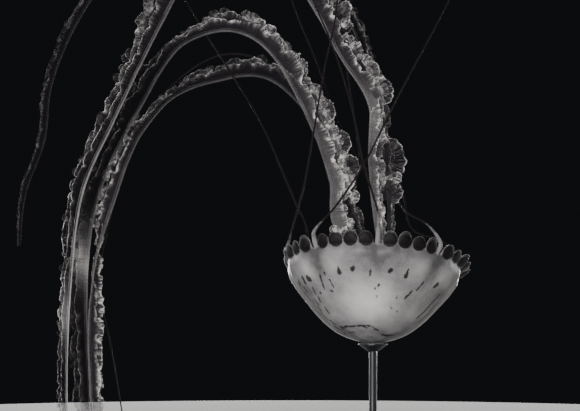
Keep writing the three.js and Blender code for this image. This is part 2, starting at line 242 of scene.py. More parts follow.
# %% Colours and nodes
ATTRIBUTE, NOISE, RANGE = "ShaderNodeAttribute", "ShaderNodeTexNoise", "ShaderNodeMapRange"
MATH, MIX, BUMP = "ShaderNodeMath", "ShaderNodeMix", "ShaderNodeBump"
EASED = {"interpolation_type": "SMOOTHSTEP"}  # a range that starts and stops softly
COLOUR = {"data_type": "RGBA"}  # a mix of colours: the first at 0, the second at 1
ROUGH = {"Roughness": 0.55}  # a noise with a little more fine grain than usual


def linear(code):
    """The linear colour of an sRGB hex code: each part's share of 255, undone from the display's curve."""
    parts = [int(code[i : i + 2], 16) / 255 for i in (1, 3, 5)]
    return (*(p / 12.92 if p <= 0.04045 else ((p + 0.055) / 1.055) ** 2.4 for p in parts), 1.0)


def add_node(tree, kind, inputs=(), **settings):
    """A node of that kind. settings are its properties. inputs fill the sockets that it shows: a list in
    their order, or a dict by their names. Each is a value, a socket of another node, or a node, which
    stands for the first output that it shows."""
    node = tree.nodes.new(kind)
    for key, value in settings.items():
        setattr(node, key, value)
    shown = [socket for socket in node.inputs if socket.enabled]
    if isinstance(inputs, dict):
        named = {socket.name: socket for socket in shown}
        shown, inputs = [named[key] for key in inputs], inputs.values()
    for socket, value in zip(shown, inputs):
        if isinstance(value, bpy.types.Node):
            value = next(output for output in value.outputs if output.enabled)
        if isinstance(value, bpy.types.NodeSocket):
            tree.links.new(value, socket)
        else:
            socket.default_value = value
    return node


def new_material(name):
    """An empty material and its node tree."""
    material = bpy.data.materials.new(name)
    material.use_nodes = True
    material.node_tree.nodes.clear()
    return material, material.node_tree


print(f"the middle grey #808080 sends back {linear('#808080')[0]:.0%} of the light")

# %% [markdown]
# ## The bell's shape
#
# The bell is a bowl of jelly. Its flank is a profile carried round an axis that leans back and a little to
# the right. Two things break the plain bowl: the margin swells into sixteen pillows, with a furrow at each
# tentacle and at each sense organ between them, and it ends in thirty-two round lappets.
#
# The skin goes from the bowl's apex up the outside, out over each lappet, round its edge and back down the
# inside to the floor of the hollow, so it is one closed sheet with the jelly's real thickness.

# %% The bell's sizes
BELL_FLANK = np.array([  # radius and height of the outer profile, from the apex to the margin
    [0, 0], [9, 0.6], [19, 3], [38, 11.5], [54, 25],
    [67.5, 41], [78, 55], [84.5, 66.5], [86, 75.5],
])
BELL_TILT = math.radians(17.5)  # of the axis, backwards
BELL_ROLL = math.radians(3)  # of the axis, to the right
WALL_APEX = 13.0
WALL_MARGIN = 2.2
FLOOR = 0.27  # where the hollow's floor meets the wall, as a share of the flank
PILLOW = 0.05  # how far the pillows swell, as a share of the radius
OCTANT = math.radians(45)  # from one tentacle to the next
LAPPETS = 4  # in an octant
LAPPET_LENGTH = 13.4
LAPPET_NOTCH = 2.5  # how long the edge stays between two lappets
LAPPET_WALL = 1.2
LAPPET_BULGE = 0.5
LAPPET_RISE = math.radians(68)  # how steeply the lappets leave the margin
LAPPET_FLARE = math.radians(38)  # how much flatter they lie at the flare
FLARE_ANGLE = 1.6  # the flare's middle, in radians from the front
FLARE_WIDTH = 0.5
TENTACLE_ROOT = 2.6  # radius
TENTACLE_ROOM = (TENTACLE_ROOT + 1.6) / BELL_FLANK[-1, 0]  # on each side of it, as an angle
print(f"{2 * math.pi / OCTANT * LAPPETS:.0f} lappets on a margin {2 * BELL_FLANK[-1, 0]:.0f} mm across")

# %% The bell's frame
lean, roll = -BELL_TILT, BELL_ROLL
ACROSS = np.array([math.cos(roll), 0, -math.sin(roll)])
BACK = np.array([math.sin(roll) * math.sin(lean), math.cos(lean), math.cos(roll) * math.sin(lean)])
AXIS = np.array([math.sin(roll) * math.cos(lean), -math.sin(lean), math.cos(roll) * math.cos(lean)])


def flank(share):
    """[radius, height] and the unit slope of the outer profile at each share of its points."""
    places = np.asarray(share, float).ravel() * (len(BELL_FLANK) - 1)
    nudge = 1e-3
    slope = unit(through(BELL_FLANK, places + nudge, 0) - through(BELL_FLANK, places - nudge, 0))
    return through(BELL_FLANK, places, 0), slope


def thickness(share):
    """How thick the wall is: from the apex's to the margin's, by the share of the flank to the power
    0.8."""
    return mix(WALL_APEX, WALL_MARGIN, share**0.8)


def apex_point():
    """The apex, placed so that the bell's lowest point stands on the stand's axis."""
    downhill = unit(AXIS * AXIS[2] - np.array([0, 0, 1]))
    outline = flank(np.linspace(0, 1, 400))[0]
    offsets = outline[:, :1] * downhill + outline[:, 1:] * AXIS
    return np.array([0, 0, bell_low.z / MM]) - offsets[offsets[:, 2].argmin()]


APEX = apex_point()


def in_bell(angle, radius, height):
    """The point at an angle round the axis, counted from the front, a radius out and a height up the
    axis."""
    angle, radius, height = np.broadcast_arrays(angle, radius, height)
    return (APEX + ACROSS * (radius * np.sin(angle))[..., None] - BACK * (radius * np.cos(angle))[..., None]
            + AXIS * height[..., None])


def swelling(angle, share):
    """The pillows: the radius grows by the sine of eight times the angle, taken positive, which falls to
    narrow furrows at the tentacles and the sense organs. A second, slower wave makes the tentacles' furrows
    deeper."""
    pillows = 0.6 * (np.sin(8 * angle) ** 2 + 0.08) ** 0.4 + 0.2 * (1 - np.cos(8 * angle))
    return 1 + PILLOW * smooth(0.4, 1, share) * (pillows - 0.45)


def wall(angle, share, depth):
    """Radius and height of the wall, sunk by depth below its outer face along the face's own normal."""
    (r, h), (out, up) = (part.T[..., None] for part in flank(share))
    return r * swelling(angle, np.asarray(share)[:, None]) - depth * up, h + depth * out


def flap(angle, length, share, depth):
    """A lappet's point, a share of its length out: it leaves the margin at its own rise, which is less
    round the flare, and bulges outwards by share·(1 - share) of its length. depth sinks it below its
    outer face."""
    radius, height = wall(angle, np.ones(1), 0)
    aside = np.angle(np.exp(1j * (angle - FLARE_ANGLE)))
    rise = LAPPET_RISE - LAPPET_FLARE * np.exp(-((aside / FLARE_WIDTH) ** 2))
    out, bulge = length * share, LAPPET_BULGE * share * (1 - share) * length
    r = radius[0] + out * np.cos(rise) + (bulge - depth) * np.sin(rise)
    h = height[0] + out * np.sin(rise) - (bulge - depth) * np.cos(rise)
    return in_bell(angle, r, h)


print(f"bell apex at {APEX.round(1)} mm, axis {AXIS.round(3)}")

# %% [markdown]
# ## The bell's marks
#
# A ring of dark spots runs round the bell below the lappets: a drop under each sense organ, a round spot on
# each side of each tentacle and a short dash below the tentacle itself. Broken dashes run down the rays
# between them, and a ring of dashes circles the apex.
#
# A mark is a short stroke on the bell. It has two ends, each an angle in degrees and a distance in
# millimetres up the flank from the apex, and a half-width at each end. Every vertex gets its distance from
# the edge of the nearest stroke, and the material fades from plum to jelly over about a millimetre of that
# distance. A picture wrapped round the bell would do as well, but it would be drawn out near the apex.

# %% Strokes on the front of the bell
FRONT_STROKES = [  # angle and distance up of one end, the same of the other, and the two half-widths
    (-28.2, 93, -28, 99, 1.9, 0.3), (23.5, 92, 23.6, 99.5, 1.9, 0.3),  # drops
    (-17.6, 95.8, -16.8, 97.4, 2.0, 1.6), (10, 95, 10.9, 96.4, 1.7, 1.9),  # round spots
    (-60.6, 93, -60.1, 95.4, 2.1, 1.9), (54.3, 90, 55.4, 93, 1.6, 2.2),
    (-4.6, 89.5, -4.2, 95, 0.5, 0.7), (-41.5, 94, -41.3, 95.5, 0.7, 0.8),  # dashes below tentacles
    (-46.5, 94.5, -47.4, 88, 0.5, 0.6), (-47.6, 85, -48.4, 79, 0.7, 0.4),  # down the rays
    (-39, 87.5, -38.6, 85.8, 0.6, 0.5), (-38.2, 83, -37.4, 79.5, 0.6, 0.4),
    (-42.5, 76, -40.6, 75.2, 0.7, 0.8), (-55.2, 76.8, -54.4, 76.2, 0.8, 0.6),
    (3, 80.3, 2.9, 78.6, 0.7, 0.5), (0.2, 76.4, -0.2, 75.8, 0.5, 0.5), (2, 68, 2.1, 67, 0.5, 0.4),
    (40.8, 91, 40, 87.5, 0.5, 0.8), (39.2, 84.5, 38.4, 80.5, 0.6, 0.5), (34, 78.5, 32.6, 75, 0.5, 0.9),
    (31.4, 72.5, 30, 69, 1.0, 0.4), (22, 69.4, 21.8, 68.4, 0.5, 0.5), (68, 86, 66.6, 75, 0.7, 1.2),
    (66.2, 71.5, 64.2, 54, 1.2, 0.8), (76.5, 79, 76.3, 68, 0.8, 1.2), (76.4, 65, 76.8, 52, 1.1, 0.7),
    (-80, 96, -79.4, 88, 0.5, 0.9), (-79, 85, -78, 74, 0.8, 0.8), (-77.6, 71, -77, 65, 0.7, 0.5),
    (-84, 70, -83, 57, 0.8, 1.0), (-82.5, 53, -82, 44, 0.9, 0.6), (-77, 59, -76, 49, 0.6, 1.0),
    (-72, 46, -71, 40, 0.9, 0.6), (-78, 40, -76, 34, 0.8, 1.0), (-66, 36, -60, 33, 0.7, 1.0),
    (-70, 74, -68.5, 66, 0.4, 0.7), (18, 57.6, 20.5, 56.4, 0.3, 0.4), (27.5, 54.2, 29.5, 53, 0.3, 0.4),
    (-56, 33.8, -49, 33.2, 0.9, 1.3), (-44, 32.4, -33, 32, 1.1, 0.9),  # round the apex
    (-27, 31.8, -14, 31, 0.9, 1.2), (-8, 31.4, 1, 30, 1.2, 0.6), (-18, 30.6, -12, 27.5, 0.9, 0.4),
    (6, 26.6, 14, 25.2, 1.0, 0.7), (34, 19, 52, 20, 0.9, 1.4), (56, 21.5, 68, 24.5, 1.3, 0.6),
    (-99, 39.5, -96, 31, 0.5, 0.9), (-92, 27, -80, 26, 0.8, 0.5), (-72, 31, -66, 33, 0.6, 0.7),
]
print(f"{len(FRONT_STROKES)} strokes on the front")

# %% Strokes round the sides and the back
FAR_OCTANTS = (2, 3, 4, 5, 6)
OCTANT_MARKS = (  # degrees from the octant's tentacle, distances up the flank, half-width
    (0, 90, 95, 0.6),  # dash below the tentacle
    (13, 95, 97, 1.8),  # round spot
    (22.5, 92, 98, 1.7),  # drop
    (32, 94, 96, 1.9),  # round spot
)
OCTANT_RAYS = (-7, 8, 17, 29)  # degrees from the octant's tentacle
RAY_TOPS, RAY_ENDS = (80, 90), (48, 62)  # between which distances up the flank a ray starts, and stops
DASH_LENGTHS, DASH_GAPS, DASH_HALVES = (2, 8), (3, 9), (0.4, 0.9)
OCTANT_APEX_DASHES = (4, 26)  # degrees from the octant's tentacle
APEX_RING, APEX_DASH_TURNS = (24, 33), (8, 15)  # distances up the flank, and degrees that a dash runs


def far_strokes(rng):
    """The same kinds of mark by rule and chance. Every far octant has its drop, its two round spots and its
    dash, broken lines of dashes down its rays, and two dashes of the apex ring."""
    strokes = []
    for octant in FAR_OCTANTS:
        tentacle = 45 * octant
        for offset, low, high, wide in OCTANT_MARKS:
            at, up = tentacle + offset + rng.uniform(-1.5, 1.5), rng.uniform(-2, 1)
            strokes.append((at, low + up, at + 0.5, high + up, wide, wide * rng.uniform(0.3, 1)))
        for offset in OCTANT_RAYS:
            up = rng.uniform(*RAY_TOPS)
            while up > rng.uniform(*RAY_ENDS):
                long = rng.uniform(*DASH_LENGTHS)
                at = tentacle + offset + rng.uniform(-1.2, 1.2)
                strokes.append((at, up, at - 0.8, up - long, *rng.uniform(*DASH_HALVES, 2)))
                up -= long + rng.uniform(*DASH_GAPS)
        for offset in OCTANT_APEX_DASHES:
            at, up = tentacle + offset, rng.uniform(*APEX_RING)
            end = at + rng.uniform(*APEX_DASH_TURNS), up + rng.uniform(-2, 2)
            strokes.append((at, up, *end, *rng.uniform(*DASH_HALVES, 2)))
    return strokes


STROKES = FRONT_STROKES + far_strokes(np.random.default_rng(5))
print(f"{len(STROKES)} strokes in all")

# %% How far a point is from the strokes
NO_MARK = 9.0  # a distance that is well away from every stroke
STROKE_SPREAD = 0.4  # how much wider a stroke is drawn than it is listed


def stroke_distance(angle, up, radius, strokes):
    """Millimetres from each point to the edge of the nearest stroke, negative inside one. The bell is
    unrolled round each stroke: across is the angle times the radius there, and the distance is to the
    nearest point of the stroke's middle line, less the half-width there."""
    nearest = np.full(up.shape, NO_MARK)
    for angle_1, up_1, angle_2, up_2, half_1, half_2 in strokes:
        turn = np.angle(np.exp(1j * (angle - math.radians(angle_1))))
        here = np.stack([turn * radius, up - up_1], -1)
        size = np.interp((up_1 + up_2) / 2, up[:, 0], radius[:, 0])
        line = np.array([math.radians(angle_2 - angle_1) * size, up_2 - up_1])
        along = np.clip(here @ line / (line @ line), 0, 1)
        gap = np.linalg.norm(here - along[..., None] * line, axis=-1)
        nearest = np.minimum(nearest, gap - mix(half_1, half_2, along) - STROKE_SPREAD)
    return nearest


# %% [markdown]
# ## The bell's jelly
#
# Mesoglea is a clear gel under a milky skin. Light scatters a few millimetres into it, so it has no hard
# shadows. It is moist, so it is glossy, but the fine grain of its skin breaks the gloss up. Where it is seen
# edge-on the eye looks through more of the skin, and it turns whiter. The Principled shader does all three,
# with a little scattering under the surface, an IOR near that of water and a bump, and with a thin sheen.
# Volume scattering would be nearer to the real jelly, but it takes far longer and doesn't export.
#
# The milky tone carries painted light and shade. It falls off inside the apex ring and towards the margin,
# partly as painted shade, it is painted darker in the furrow below each tentacle and at the two sides, and
# it is milkier, with painted light, over the front and the back and on four pillows.
# Each lappet is a clear film with a dark plum oval in it and a pale rim.

# %% The bell's material
MILK = linear("#EBE8E7")
SHADED_MILK = linear("#5D5B5C")
PLUM = linear("#120E11")
CLEAR_RIM = linear("#8E8A8B")


def bell_jelly():
    """Moist mesoglea under its milky skin: white and soft where it is dense, grey where it is thin, and
    lighter and darker where light and shade are painted into its milk, with plum marks. A lappet is clear
    but for its dark oval and its pale rim."""
    material, tree = new_material("moist_bell_mesoglea")
    milk, body, lappet, mark, oval, edge = (
        add_node(tree, ATTRIBUTE, attribute_name=name).outputs["Fac"]
        for name in ("milk", "body", "lappet", "stroke", "oval", "edge"))
    where = add_node(tree, "ShaderNodeTexCoord").outputs["Object"]
    cloud, grain = (  # clouds 12 mm across, grains 1.2 mm
        add_node(tree, NOISE, {"Vector": where, "Scale": 1 / (size * MM), "Detail": octaves, **ROUGH})
        for size, octaves in ((12, 5), (1.2, 3)))
    for texture, low, high, strength in ((cloud, 0.25, 0.75, 0.08), (grain, 0.2, 0.8, 0.06)):
        uneven = add_node(tree, RANGE, [texture, low, high, -strength, strength], **EASED)
        milk = add_node(tree, MATH, [milk, uneven], operation="ADD")
    # grey to white by the milk: how milky the jelly is, and painted light and shade
    colour = add_node(tree, MIX, [milk, SHADED_MILK, MILK], **COLOUR)

    # plum strokes, then the lappets' pale rims, then their dark ovals, whose edges the grain makes ragged
    ragged = add_node(tree, RANGE, [grain, 0.2, 0.8, -0.7, 0.7], **EASED)
    mark = add_node(tree, MATH, [mark, ragged], operation="ADD")
    mark = add_node(tree, RANGE, [mark, -0.6, 0.7, 0.93, 0.0], **EASED)
    colour = add_node(tree, MIX, [mark, colour, PLUM], **COLOUR)
    rim = add_node(tree, RANGE, [edge, 0.9, 0.3], **EASED)
    rim = add_node(tree, MATH, [rim, lappet], operation="MULTIPLY")
    colour = add_node(tree, MIX, [rim, colour, CLEAR_RIM], **COLOUR)
    ragged = add_node(tree, RANGE, [grain, 0.2, 0.8, -0.4, 0.4], **EASED)
    oval = add_node(tree, MATH, [oval, ragged], operation="ADD")
    oval = add_node(tree, RANGE, [oval, -0.3, 0.7], **EASED)
    colour = add_node(tree, MIX, [oval, colour, PLUM], **COLOUR)

    # how much light the jelly stops: the rims and the ovals more than the clear lappet round them
    clear = add_node(tree, MATH, [rim, 0.3, body], operation="MULTIPLY_ADD")
    dense = add_node(tree, MATH, [oval, 0.9], operation="MULTIPLY")
    alpha = add_node(tree, MATH, [clear, dense], operation="MAXIMUM")
    gloss = add_node(tree, RANGE, [oval, 0, 1, 0.38, 0.62], **EASED)
    bump = add_node(tree, BUMP, {"Height": grain, "Strength": 0.12, "Distance": 0.4 * MM})
    shader = add_node(tree, "ShaderNodeBsdfPrincipled", {
        "Base Color": colour, "Alpha": alpha, "Roughness": gloss, "Normal": bump, "IOR": 1.36,
        "Subsurface Weight": 0.2, "Subsurface Radius": (1.0, 0.95, 0.9), "Subsurface Scale": 3 * MM,
        "Sheen Weight": 0.4, "Sheen Roughness": 0.12})
    add_node(tree, "ShaderNodeOutputMaterial", {"Surface": shader})
    return material


# %% The lappets' outlines
BETWEEN_OCTANTS = 0.8  # how long the edge is at a tentacle's root


def lappet_outline(angle):
    """For each angle: the lappet's length, its full length in the middle, how far the angle is from the
    middle in millimetres, and half the lappet's width. A lappet's outline is half an ellipse over its
    width, and a tentacle's root stands between octants."""
    octant = np.floor(angle / OCTANT)
    share = ((angle - octant * OCTANT) - TENTACLE_ROOM) / (OCTANT - 2 * TENTACLE_ROOM)
    inside = (share > 0) & (share < 1)
    count = np.clip(share, 0, 0.9999) * LAPPETS
    offset = (count % 1) * 2 - 1
    full = LAPPET_LENGTH * (1 + 0.1 * np.sin(2.4 * (octant * LAPPETS + np.floor(count))))
    half = (OCTANT - 2 * TENTACLE_ROOM) / LAPPETS / 2 * BELL_FLANK[-1, 0]
    length = np.where(inside, mix(LAPPET_NOTCH, full, np.sqrt(1 - offset**2)), BETWEEN_OCTANTS)
    return length, full, np.where(inside, offset * half, half), half


# %% How milky the jelly is
HEIGHTS = [0, 22, 32, 50, 76, 92, 104, 122]  # up the flank
# milk at each height, partly painted shade: less at the apex and at the margin
MILK_AND_SHADE_AT_HEIGHTS = [0.16, 0.12, 0.22, 0.32, 0.24, 0.2, 0.16, 0.08]
GUT_MILK_AND_LIGHT, GUT_HEIGHT, GUT_REACH = 0.6, 62, 23  # the pockets' milk with painted light on it, where it is most, how far it reaches
GUT_TURN = 0.08  # how far round from the front and the back the glowing pockets are
# a painted highlight on four pillows: its strength, height up the flank and reach
PILLOW_PAINTED_LIGHT, PILLOW_HEIGHT, PILLOW_REACH = 0.62, 104, 13
# painted shade in the furrow below each tentacle: its strength, and its width in radians
FURROW_PAINTED_SHADE, FURROW_WIDTH = 0.17, 0.15
# painted shade at the bell's two sides
SIDE_PAINTED_SHADE = 0.2


def milk_light_and_shade(angle, up):
    """How milky the jelly is, with light and shade painted on: little at the apex and the margin, much
    halfway up, partly as painted shade. It is milkier, with a painted glow of light, over the gut's pockets
    at the front and the back, by cosines squared, and has a painted highlight on four pillows an eighth of a
    turn from them, by a sine to the fourth. Painted shade dims the furrow below each tentacle and the two
    sides."""
    # the milk by height, partly painted shade towards the apex and the margin
    height = np.interp(up, HEIGHTS, MILK_AND_SHADE_AT_HEIGHTS)
    pockets = np.cos(angle + GUT_TURN) ** 2 * np.cos(2 * angle + 2 * GUT_TURN) ** 2
    # milkier over the gut's pockets, with a painted glow of light at the front and the back
    glow = GUT_MILK_AND_LIGHT * pockets * np.exp(-(((up - GUT_HEIGHT) / GUT_REACH) ** 2))
    # painted highlight on the four pillows
    pillow_light = PILLOW_PAINTED_LIGHT * np.sin(2 * angle) ** 4 * np.exp(-(((up - PILLOW_HEIGHT) / PILLOW_REACH) ** 2))
    # painted shade in the furrow below each tentacle
    furrow = np.exp(-((np.angle(np.exp(8j * angle)) / 8 / FURROW_WIDTH) ** 2))
    pillow_light = pillow_light * (0.6 + 0.6 * np.sin(angle) ** 2)
    # painted shade at the two sides, less towards the margin
    side = smooth(0.72, 1, np.abs(np.sin(angle))) * mix(1, 0.3, smooth(88, 100, up))
    bright = height + glow + pillow_light * (1 - furrow)
    return bright - FURROW_PAINTED_SHADE * furrow * smooth(84, 114, up) - SIDE_PAINTED_SHADE * side


# %% The bell's surface
BELL_COLUMNS = 576
FLANK_ROWS = 84
LAPPET_ROWS = 20
INNER_LAPPET_ROWS = 9
INNER_ROWS = 44
FLOOR_RINGS = (0.75, 0.5, 0.25, 0.02)  # shares of the hollow's floor, from its edge inwards


def bell_rings(angle, share, length, out_share, in_share):
    """Rings up the flank, out over the lappets, round their edge, back in and down to the hollow's
    floor."""
    outer = in_bell(angle, *wall(angle, share, 0))
    lappet = flap(angle, length, out_share, 0.35 * LAPPET_WALL * out_share**6)
    under = flap(angle, length, in_share, mix(1.0, 0.65, in_share**6) * LAPPET_WALL)
    inner_share = np.linspace(1, FLOOR, INNER_ROWS)
    inner = in_bell(angle, *wall(angle, inner_share, thickness(inner_share)[:, None]))
    centre = inner[-1].mean(0)
    floor = np.stack([mix(centre, inner[-1], t) for t in FLOOR_RINGS])
    return np.concatenate([outer, lappet, under, inner, floor]) * MM


# %% The bell
OVAL_HEIGHT, OVAL_HALF = 4.6, 7.4  # middle of a lappet's dark oval above the margin, and half its height
OVAL_BREADTH = 0.98  # as a share of the lappet's width
OVAL_SCALE = 6  # turns shares of an oval's size into millimetres, about
NO_OVAL = 6  # how far outside the ovals, and from a lappet's edge, the hollow counts as being


def bell_skin():
    """The bell and the numbers that its material reads. stroke, oval and edge are distances: from a stroke,
    into a lappet's dark oval and from a lappet's edge. milk, body and lappet are how milky and how solid
    the jelly is, with painted light and shade in the flank's milk, and whether it is a lappet's."""
    angle = np.arange(BELL_COLUMNS) * 2 * np.pi / BELL_COLUMNS
    share = np.linspace(0.004, 1, FLANK_ROWS)  # the first ring lies just beside the apex
    out_share = np.linspace(0, 1, LAPPET_ROWS + 1)[1:, None] ** 0.9
    in_share = np.linspace(1, 0.05, INNER_LAPPET_ROWS)[:, None]
    length, full, offset, half = lappet_outline(angle)
    rings = bell_rings(angle, share, length, out_share, in_share)

    profile = flank(share)[0]
    steps = np.linalg.norm(np.diff(profile, axis=0), axis=1)
    up = np.concatenate([[0], np.cumsum(steps)])[:, None] + 0 * angle
    marks = stroke_distance(angle + 0 * up, up, profile[:, :1] + 0 * angle, STROKES)

    height = np.concatenate([up - up[-1:], length * out_share, length * in_share])
    oval = OVAL_SCALE * (1 - np.hypot(offset / (OVAL_BREADTH * half), (height - OVAL_HEIGHT) / OVAL_HALF))
    edge = np.minimum(half - np.abs(offset), np.maximum(length - height, 0) + 0.1)
    rise = np.clip(height / full, 0, 1)
    beyond = rise[FLANK_ROWS:]
    hollow = np.zeros((INNER_ROWS + len(FLOOR_RINGS), BELL_COLUMNS))
    attributes = {  # each for the flank, for the lappets' two faces and for the hollow
        "stroke": np.concatenate([marks, NO_MARK + 0 * beyond, NO_MARK + hollow]),
        # the flank's milk, with painted light and shade
        "milk": np.concatenate([milk_light_and_shade(angle, up), 0.2 - 0.2 * beyond, 0.2 + hollow]),
        "body": np.concatenate([0.97 + 0 * up, mix(0.9, 0.06, beyond**0.6), 0.8 + hollow]),
        "lappet": np.concatenate([0 * up, smooth(0.1, 0.4, beyond), hollow]),
        "oval": np.concatenate([oval, hollow - NO_OVAL]),
        "edge": np.concatenate([edge, hollow + NO_OVAL]),
    }
    margins = [f"margin_{i + 1}" for i in range(8)]
    return skin("bell_skin", rings, attributes, bell_jelly(), ["bell", *margins])


bell_skin()

# %% [markdown]
# ## The mouth arms' shape
#
# Four arms hang from the mouth. Each is a thin veil folded lengthwise along a thicker rib, like a leaf
# along its midrib, and the edge of each half is far longer than the rib, so it buckles into frills: slow
# deep waves that carry quicker, smaller ones. A wave that also slides to and fro along the arm, twice for
# each wave, folds over itself as a real frill does.
#
# An arm's route gives, at each of a few places, how wide the halves are and how far they are turned about
# the rib. Cloth simulation could buckle the edge by itself, but the arms hold the places and the folds that
# they have in one moment of swimming, and waves that are worked out can be led there.

# %% Routes of the arms
ARM_RIB = 1.9  # radius of the rib
RIB_FULL_AT = 14  # the width from which an arm has its full rib
WINGS = (  # lean from the rib, reach as a share of the width, phase of its waves
    (math.radians(18), 1.0, 0.0),
    (math.radians(-24), 0.62, 0.45),
)
MOUTH_HEIGHT = 58.0
MOUTH_RADIUS = 17.0
FANS_1 = [  # hub, radius, heading in degrees up from the right, half-spread in degrees, milkiness
    (-54, -10, 350, 17, 12, 72, 0.5), (-41, -9, 318, 19, 8, 66, 0.5), (-30, -9, 294, 17, 14, 70, 0.4),
    (-24, -9, 266, 11, -6, 60, 0.9), (-38, -14, 229, 8, 100, 60, 1.3), (-34, -13, 229, 7, 70, 60, 1.2),
]
FANS_3 = [
    (2, -1, 301, 32, 9, 62, 0.22), (7, 0, 264, 24, 38, 56, 0.5), (-2, 0, 368, 23, 14, 58, 0.4),
    (-6, 1, 389, 14, 38, 66, 0.5), (0, 0, 340, 16, 62, 40, 1.0), (14, -3, 286, 15, -8, 34, 1.2),
]
# The milkiness also holds painted light and shade: on the two front arms, arm_1 and arm_3, it falls away
# from the bell, and on the two arms behind, arm_2 and arm_4, it starts low, as painted shade.
ARMS = {  # foot at the mouth; how milky, with painted light and shade, and how sharply lined, near, midway and far; fans; route
    "arm_1": ((-9, -7), ((1.0, 0.05, 0.08), (0.8, 0.35, 0.4)), FANS_1, [
        [-39, -8, 238, 20, 0], [-43, -8, 282, 27, 0], [-64, -10, 341, 26, 0], [-106, -12, 413, 25, 0],
        [-142, -12, 431, 23, 0], [-190, -12, 417, 12, 0], [-231, -12, 357, 26, 0], [-274, -12, 266, 24, 0],
        [-286, -10, 181, 22, 0], [-282, -8, 60, 19, 0], [-280, -8, 16, 4, 0]]),
    "arm_2": ((-8, 9), ((0.25, 0.2, 1.2), (0.4, 0.35, 0.7)), [], [
        [-24, 22, 246, 14, 0], [-42, 38, 301, 20, 0], [-73, 48, 360, 22, 0], [-111, 52, 388, 22, 0],
        [-157, 52, 384, 18, 0], [-201, 50, 367, 11, 0], [-237, 46, 325, 18, 0], [-263, 44, 258, 22, 20],
        [-280, 42, 202, 14, 90], [-286, 40, 142, 15, 170], [-284, 38, 60, 14, 180], [-280, 38, 20, 4, 180]]),
    "arm_3": ((9, -6), ((0.9, 0.35, 0.08), (0.8, 0.4, 1.2)), FANS_3, [
        [2, 0, 241, 12, 0], [-3, 0, 292, 18, 0], [-3, 1, 327, 16, 0], [-2, 2, 352, 17, 0],
        [-12, 3, 376, 27, 0], [-30, 5, 402, 25, 0], [-65, 4, 464, 38, 0],
        [-110, -10, 523, 32, 0], [-160, -30, 527, 28, 0], [-196, -46, 462, 34, 0],
        [-226, -50, 404, 20, 0], [-256, -52, 341, 18, 0], [-287, -52, 271, 15, 0], [-299, -50, 181, 12, 0],
        [-303, -48, 70, 10, 0], [-300, -46, 22, 3, 0]]),
    "arm_4": ((10, 8), ((0.3, 0.12, 0.1), (0.4, 0.25, 0.15)), [], [
        [17, 45, 246, 8, 0], [12, 62, 312, 12, 0], [0, 66, 384, 12, 0], [-37, 64, 476, 12, 0],
        [-97, 56, 553, 12, 0], [-178, 46, 560, 12, 0], [-250, 38, 508, 12, 0], [-296, 32, 446, 11, 0],
        [-324, 28, 378, 10, 0], [-331, 26, 322, 9, 0], [-350, 24, 267, 7, 0], [-355, 22, 216, 4, 0]]),
}

# %% [markdown]
# ## Where the veil is doubled
#
# Where two arms cross, or where an arm folds back on itself, the eye looks through several veils and sees
# milk all over, not only at the edge. Each such stretch gets a haze: a soft hump of milkiness along the arm,
# round a middle so far from the mouth. It slants, because the folds run out and back from the rib. At the
# mouth, where all four veils are gathered, the milky arms start with a haze of their own.

# %% Hazes
HAZES = {  # distance of the middle from the mouth, length, strength
    "arm_1": [(599, 15, 0.12), (596, 32, 0.05)],
    "arm_3": [(854, 26, 0.09), (175, 30, 0.08)],
}
HAZE_SLANT = 0.7  # how much nearer to the mouth a haze is for each millimetre out from the rib
MOUTH_HAZE = 0.08  # its strength at the mouth, on an arm of full milkiness
MOUTH_HAZE_ENDS = (230, 40)  # distances from the mouth where it is gone and where it is full
STATIONS = (0.2, 0.5, 0.8)  # near, midway and far, as shares of an arm's length
print(f"{len(ARMS)} arms, {sum(map(len, HAZES.values()))} hazes")

# %% The lobes of a frill
LOBE = 22  # the spacing of a frill's lobes, before chance


def lobed(distance, spacing, rng):
    """The frill's outline as a row of round lobes, a random multiple of the spacing apart: over each lobe
    the root of 1 - offset², from 0 at its sides to its own random height in the middle."""
    ends = np.cumsum(rng.uniform(0.4, 1.7, int(distance[-1] / spacing * 1.3) + 8)) * spacing
    ends = np.concatenate([[0], ends])
    heights = rng.uniform(0.4, 1, len(ends))
    lobe = np.searchsorted(ends, distance, side="right") - 1
    offset = (distance - ends[lobe]) / (ends[lobe + 1] - ends[lobe]) * 2 - 1
    return heights[lobe] * np.sqrt(1 - np.clip(offset, -1, 1) ** 2)


# %% One half of an arm
RUFFLES = (  # length along the arm, height where the wing is full, how steeply it grows towards the edge
    (41.0, 6.5, 1.3),
    (19.0, 3.0, 2.4),
    (9.0, 2.0, 4.0),
    (4.4, 1.3, 7.0),
)
SLOW = 30  # a ruffle longer than this keeps an even beat
FULL_WING = 24  # a wing this wide has ruffles of their full height
NIBBLES = (4.7, 1.9)  # lengths of the edge's nibbles
CURLS = 20  # length of its curls
NARROWINGS = 60  # length over which the narrow half comes and goes
ARM_STEP = 0.85
WING_COLUMNS = 20


def rib_radius(width):
    """The rib's radius: full where the arm is wide, and less in step with a narrow arm."""
    return ARM_RIB * np.minimum(1, width / RIB_FULL_AT)


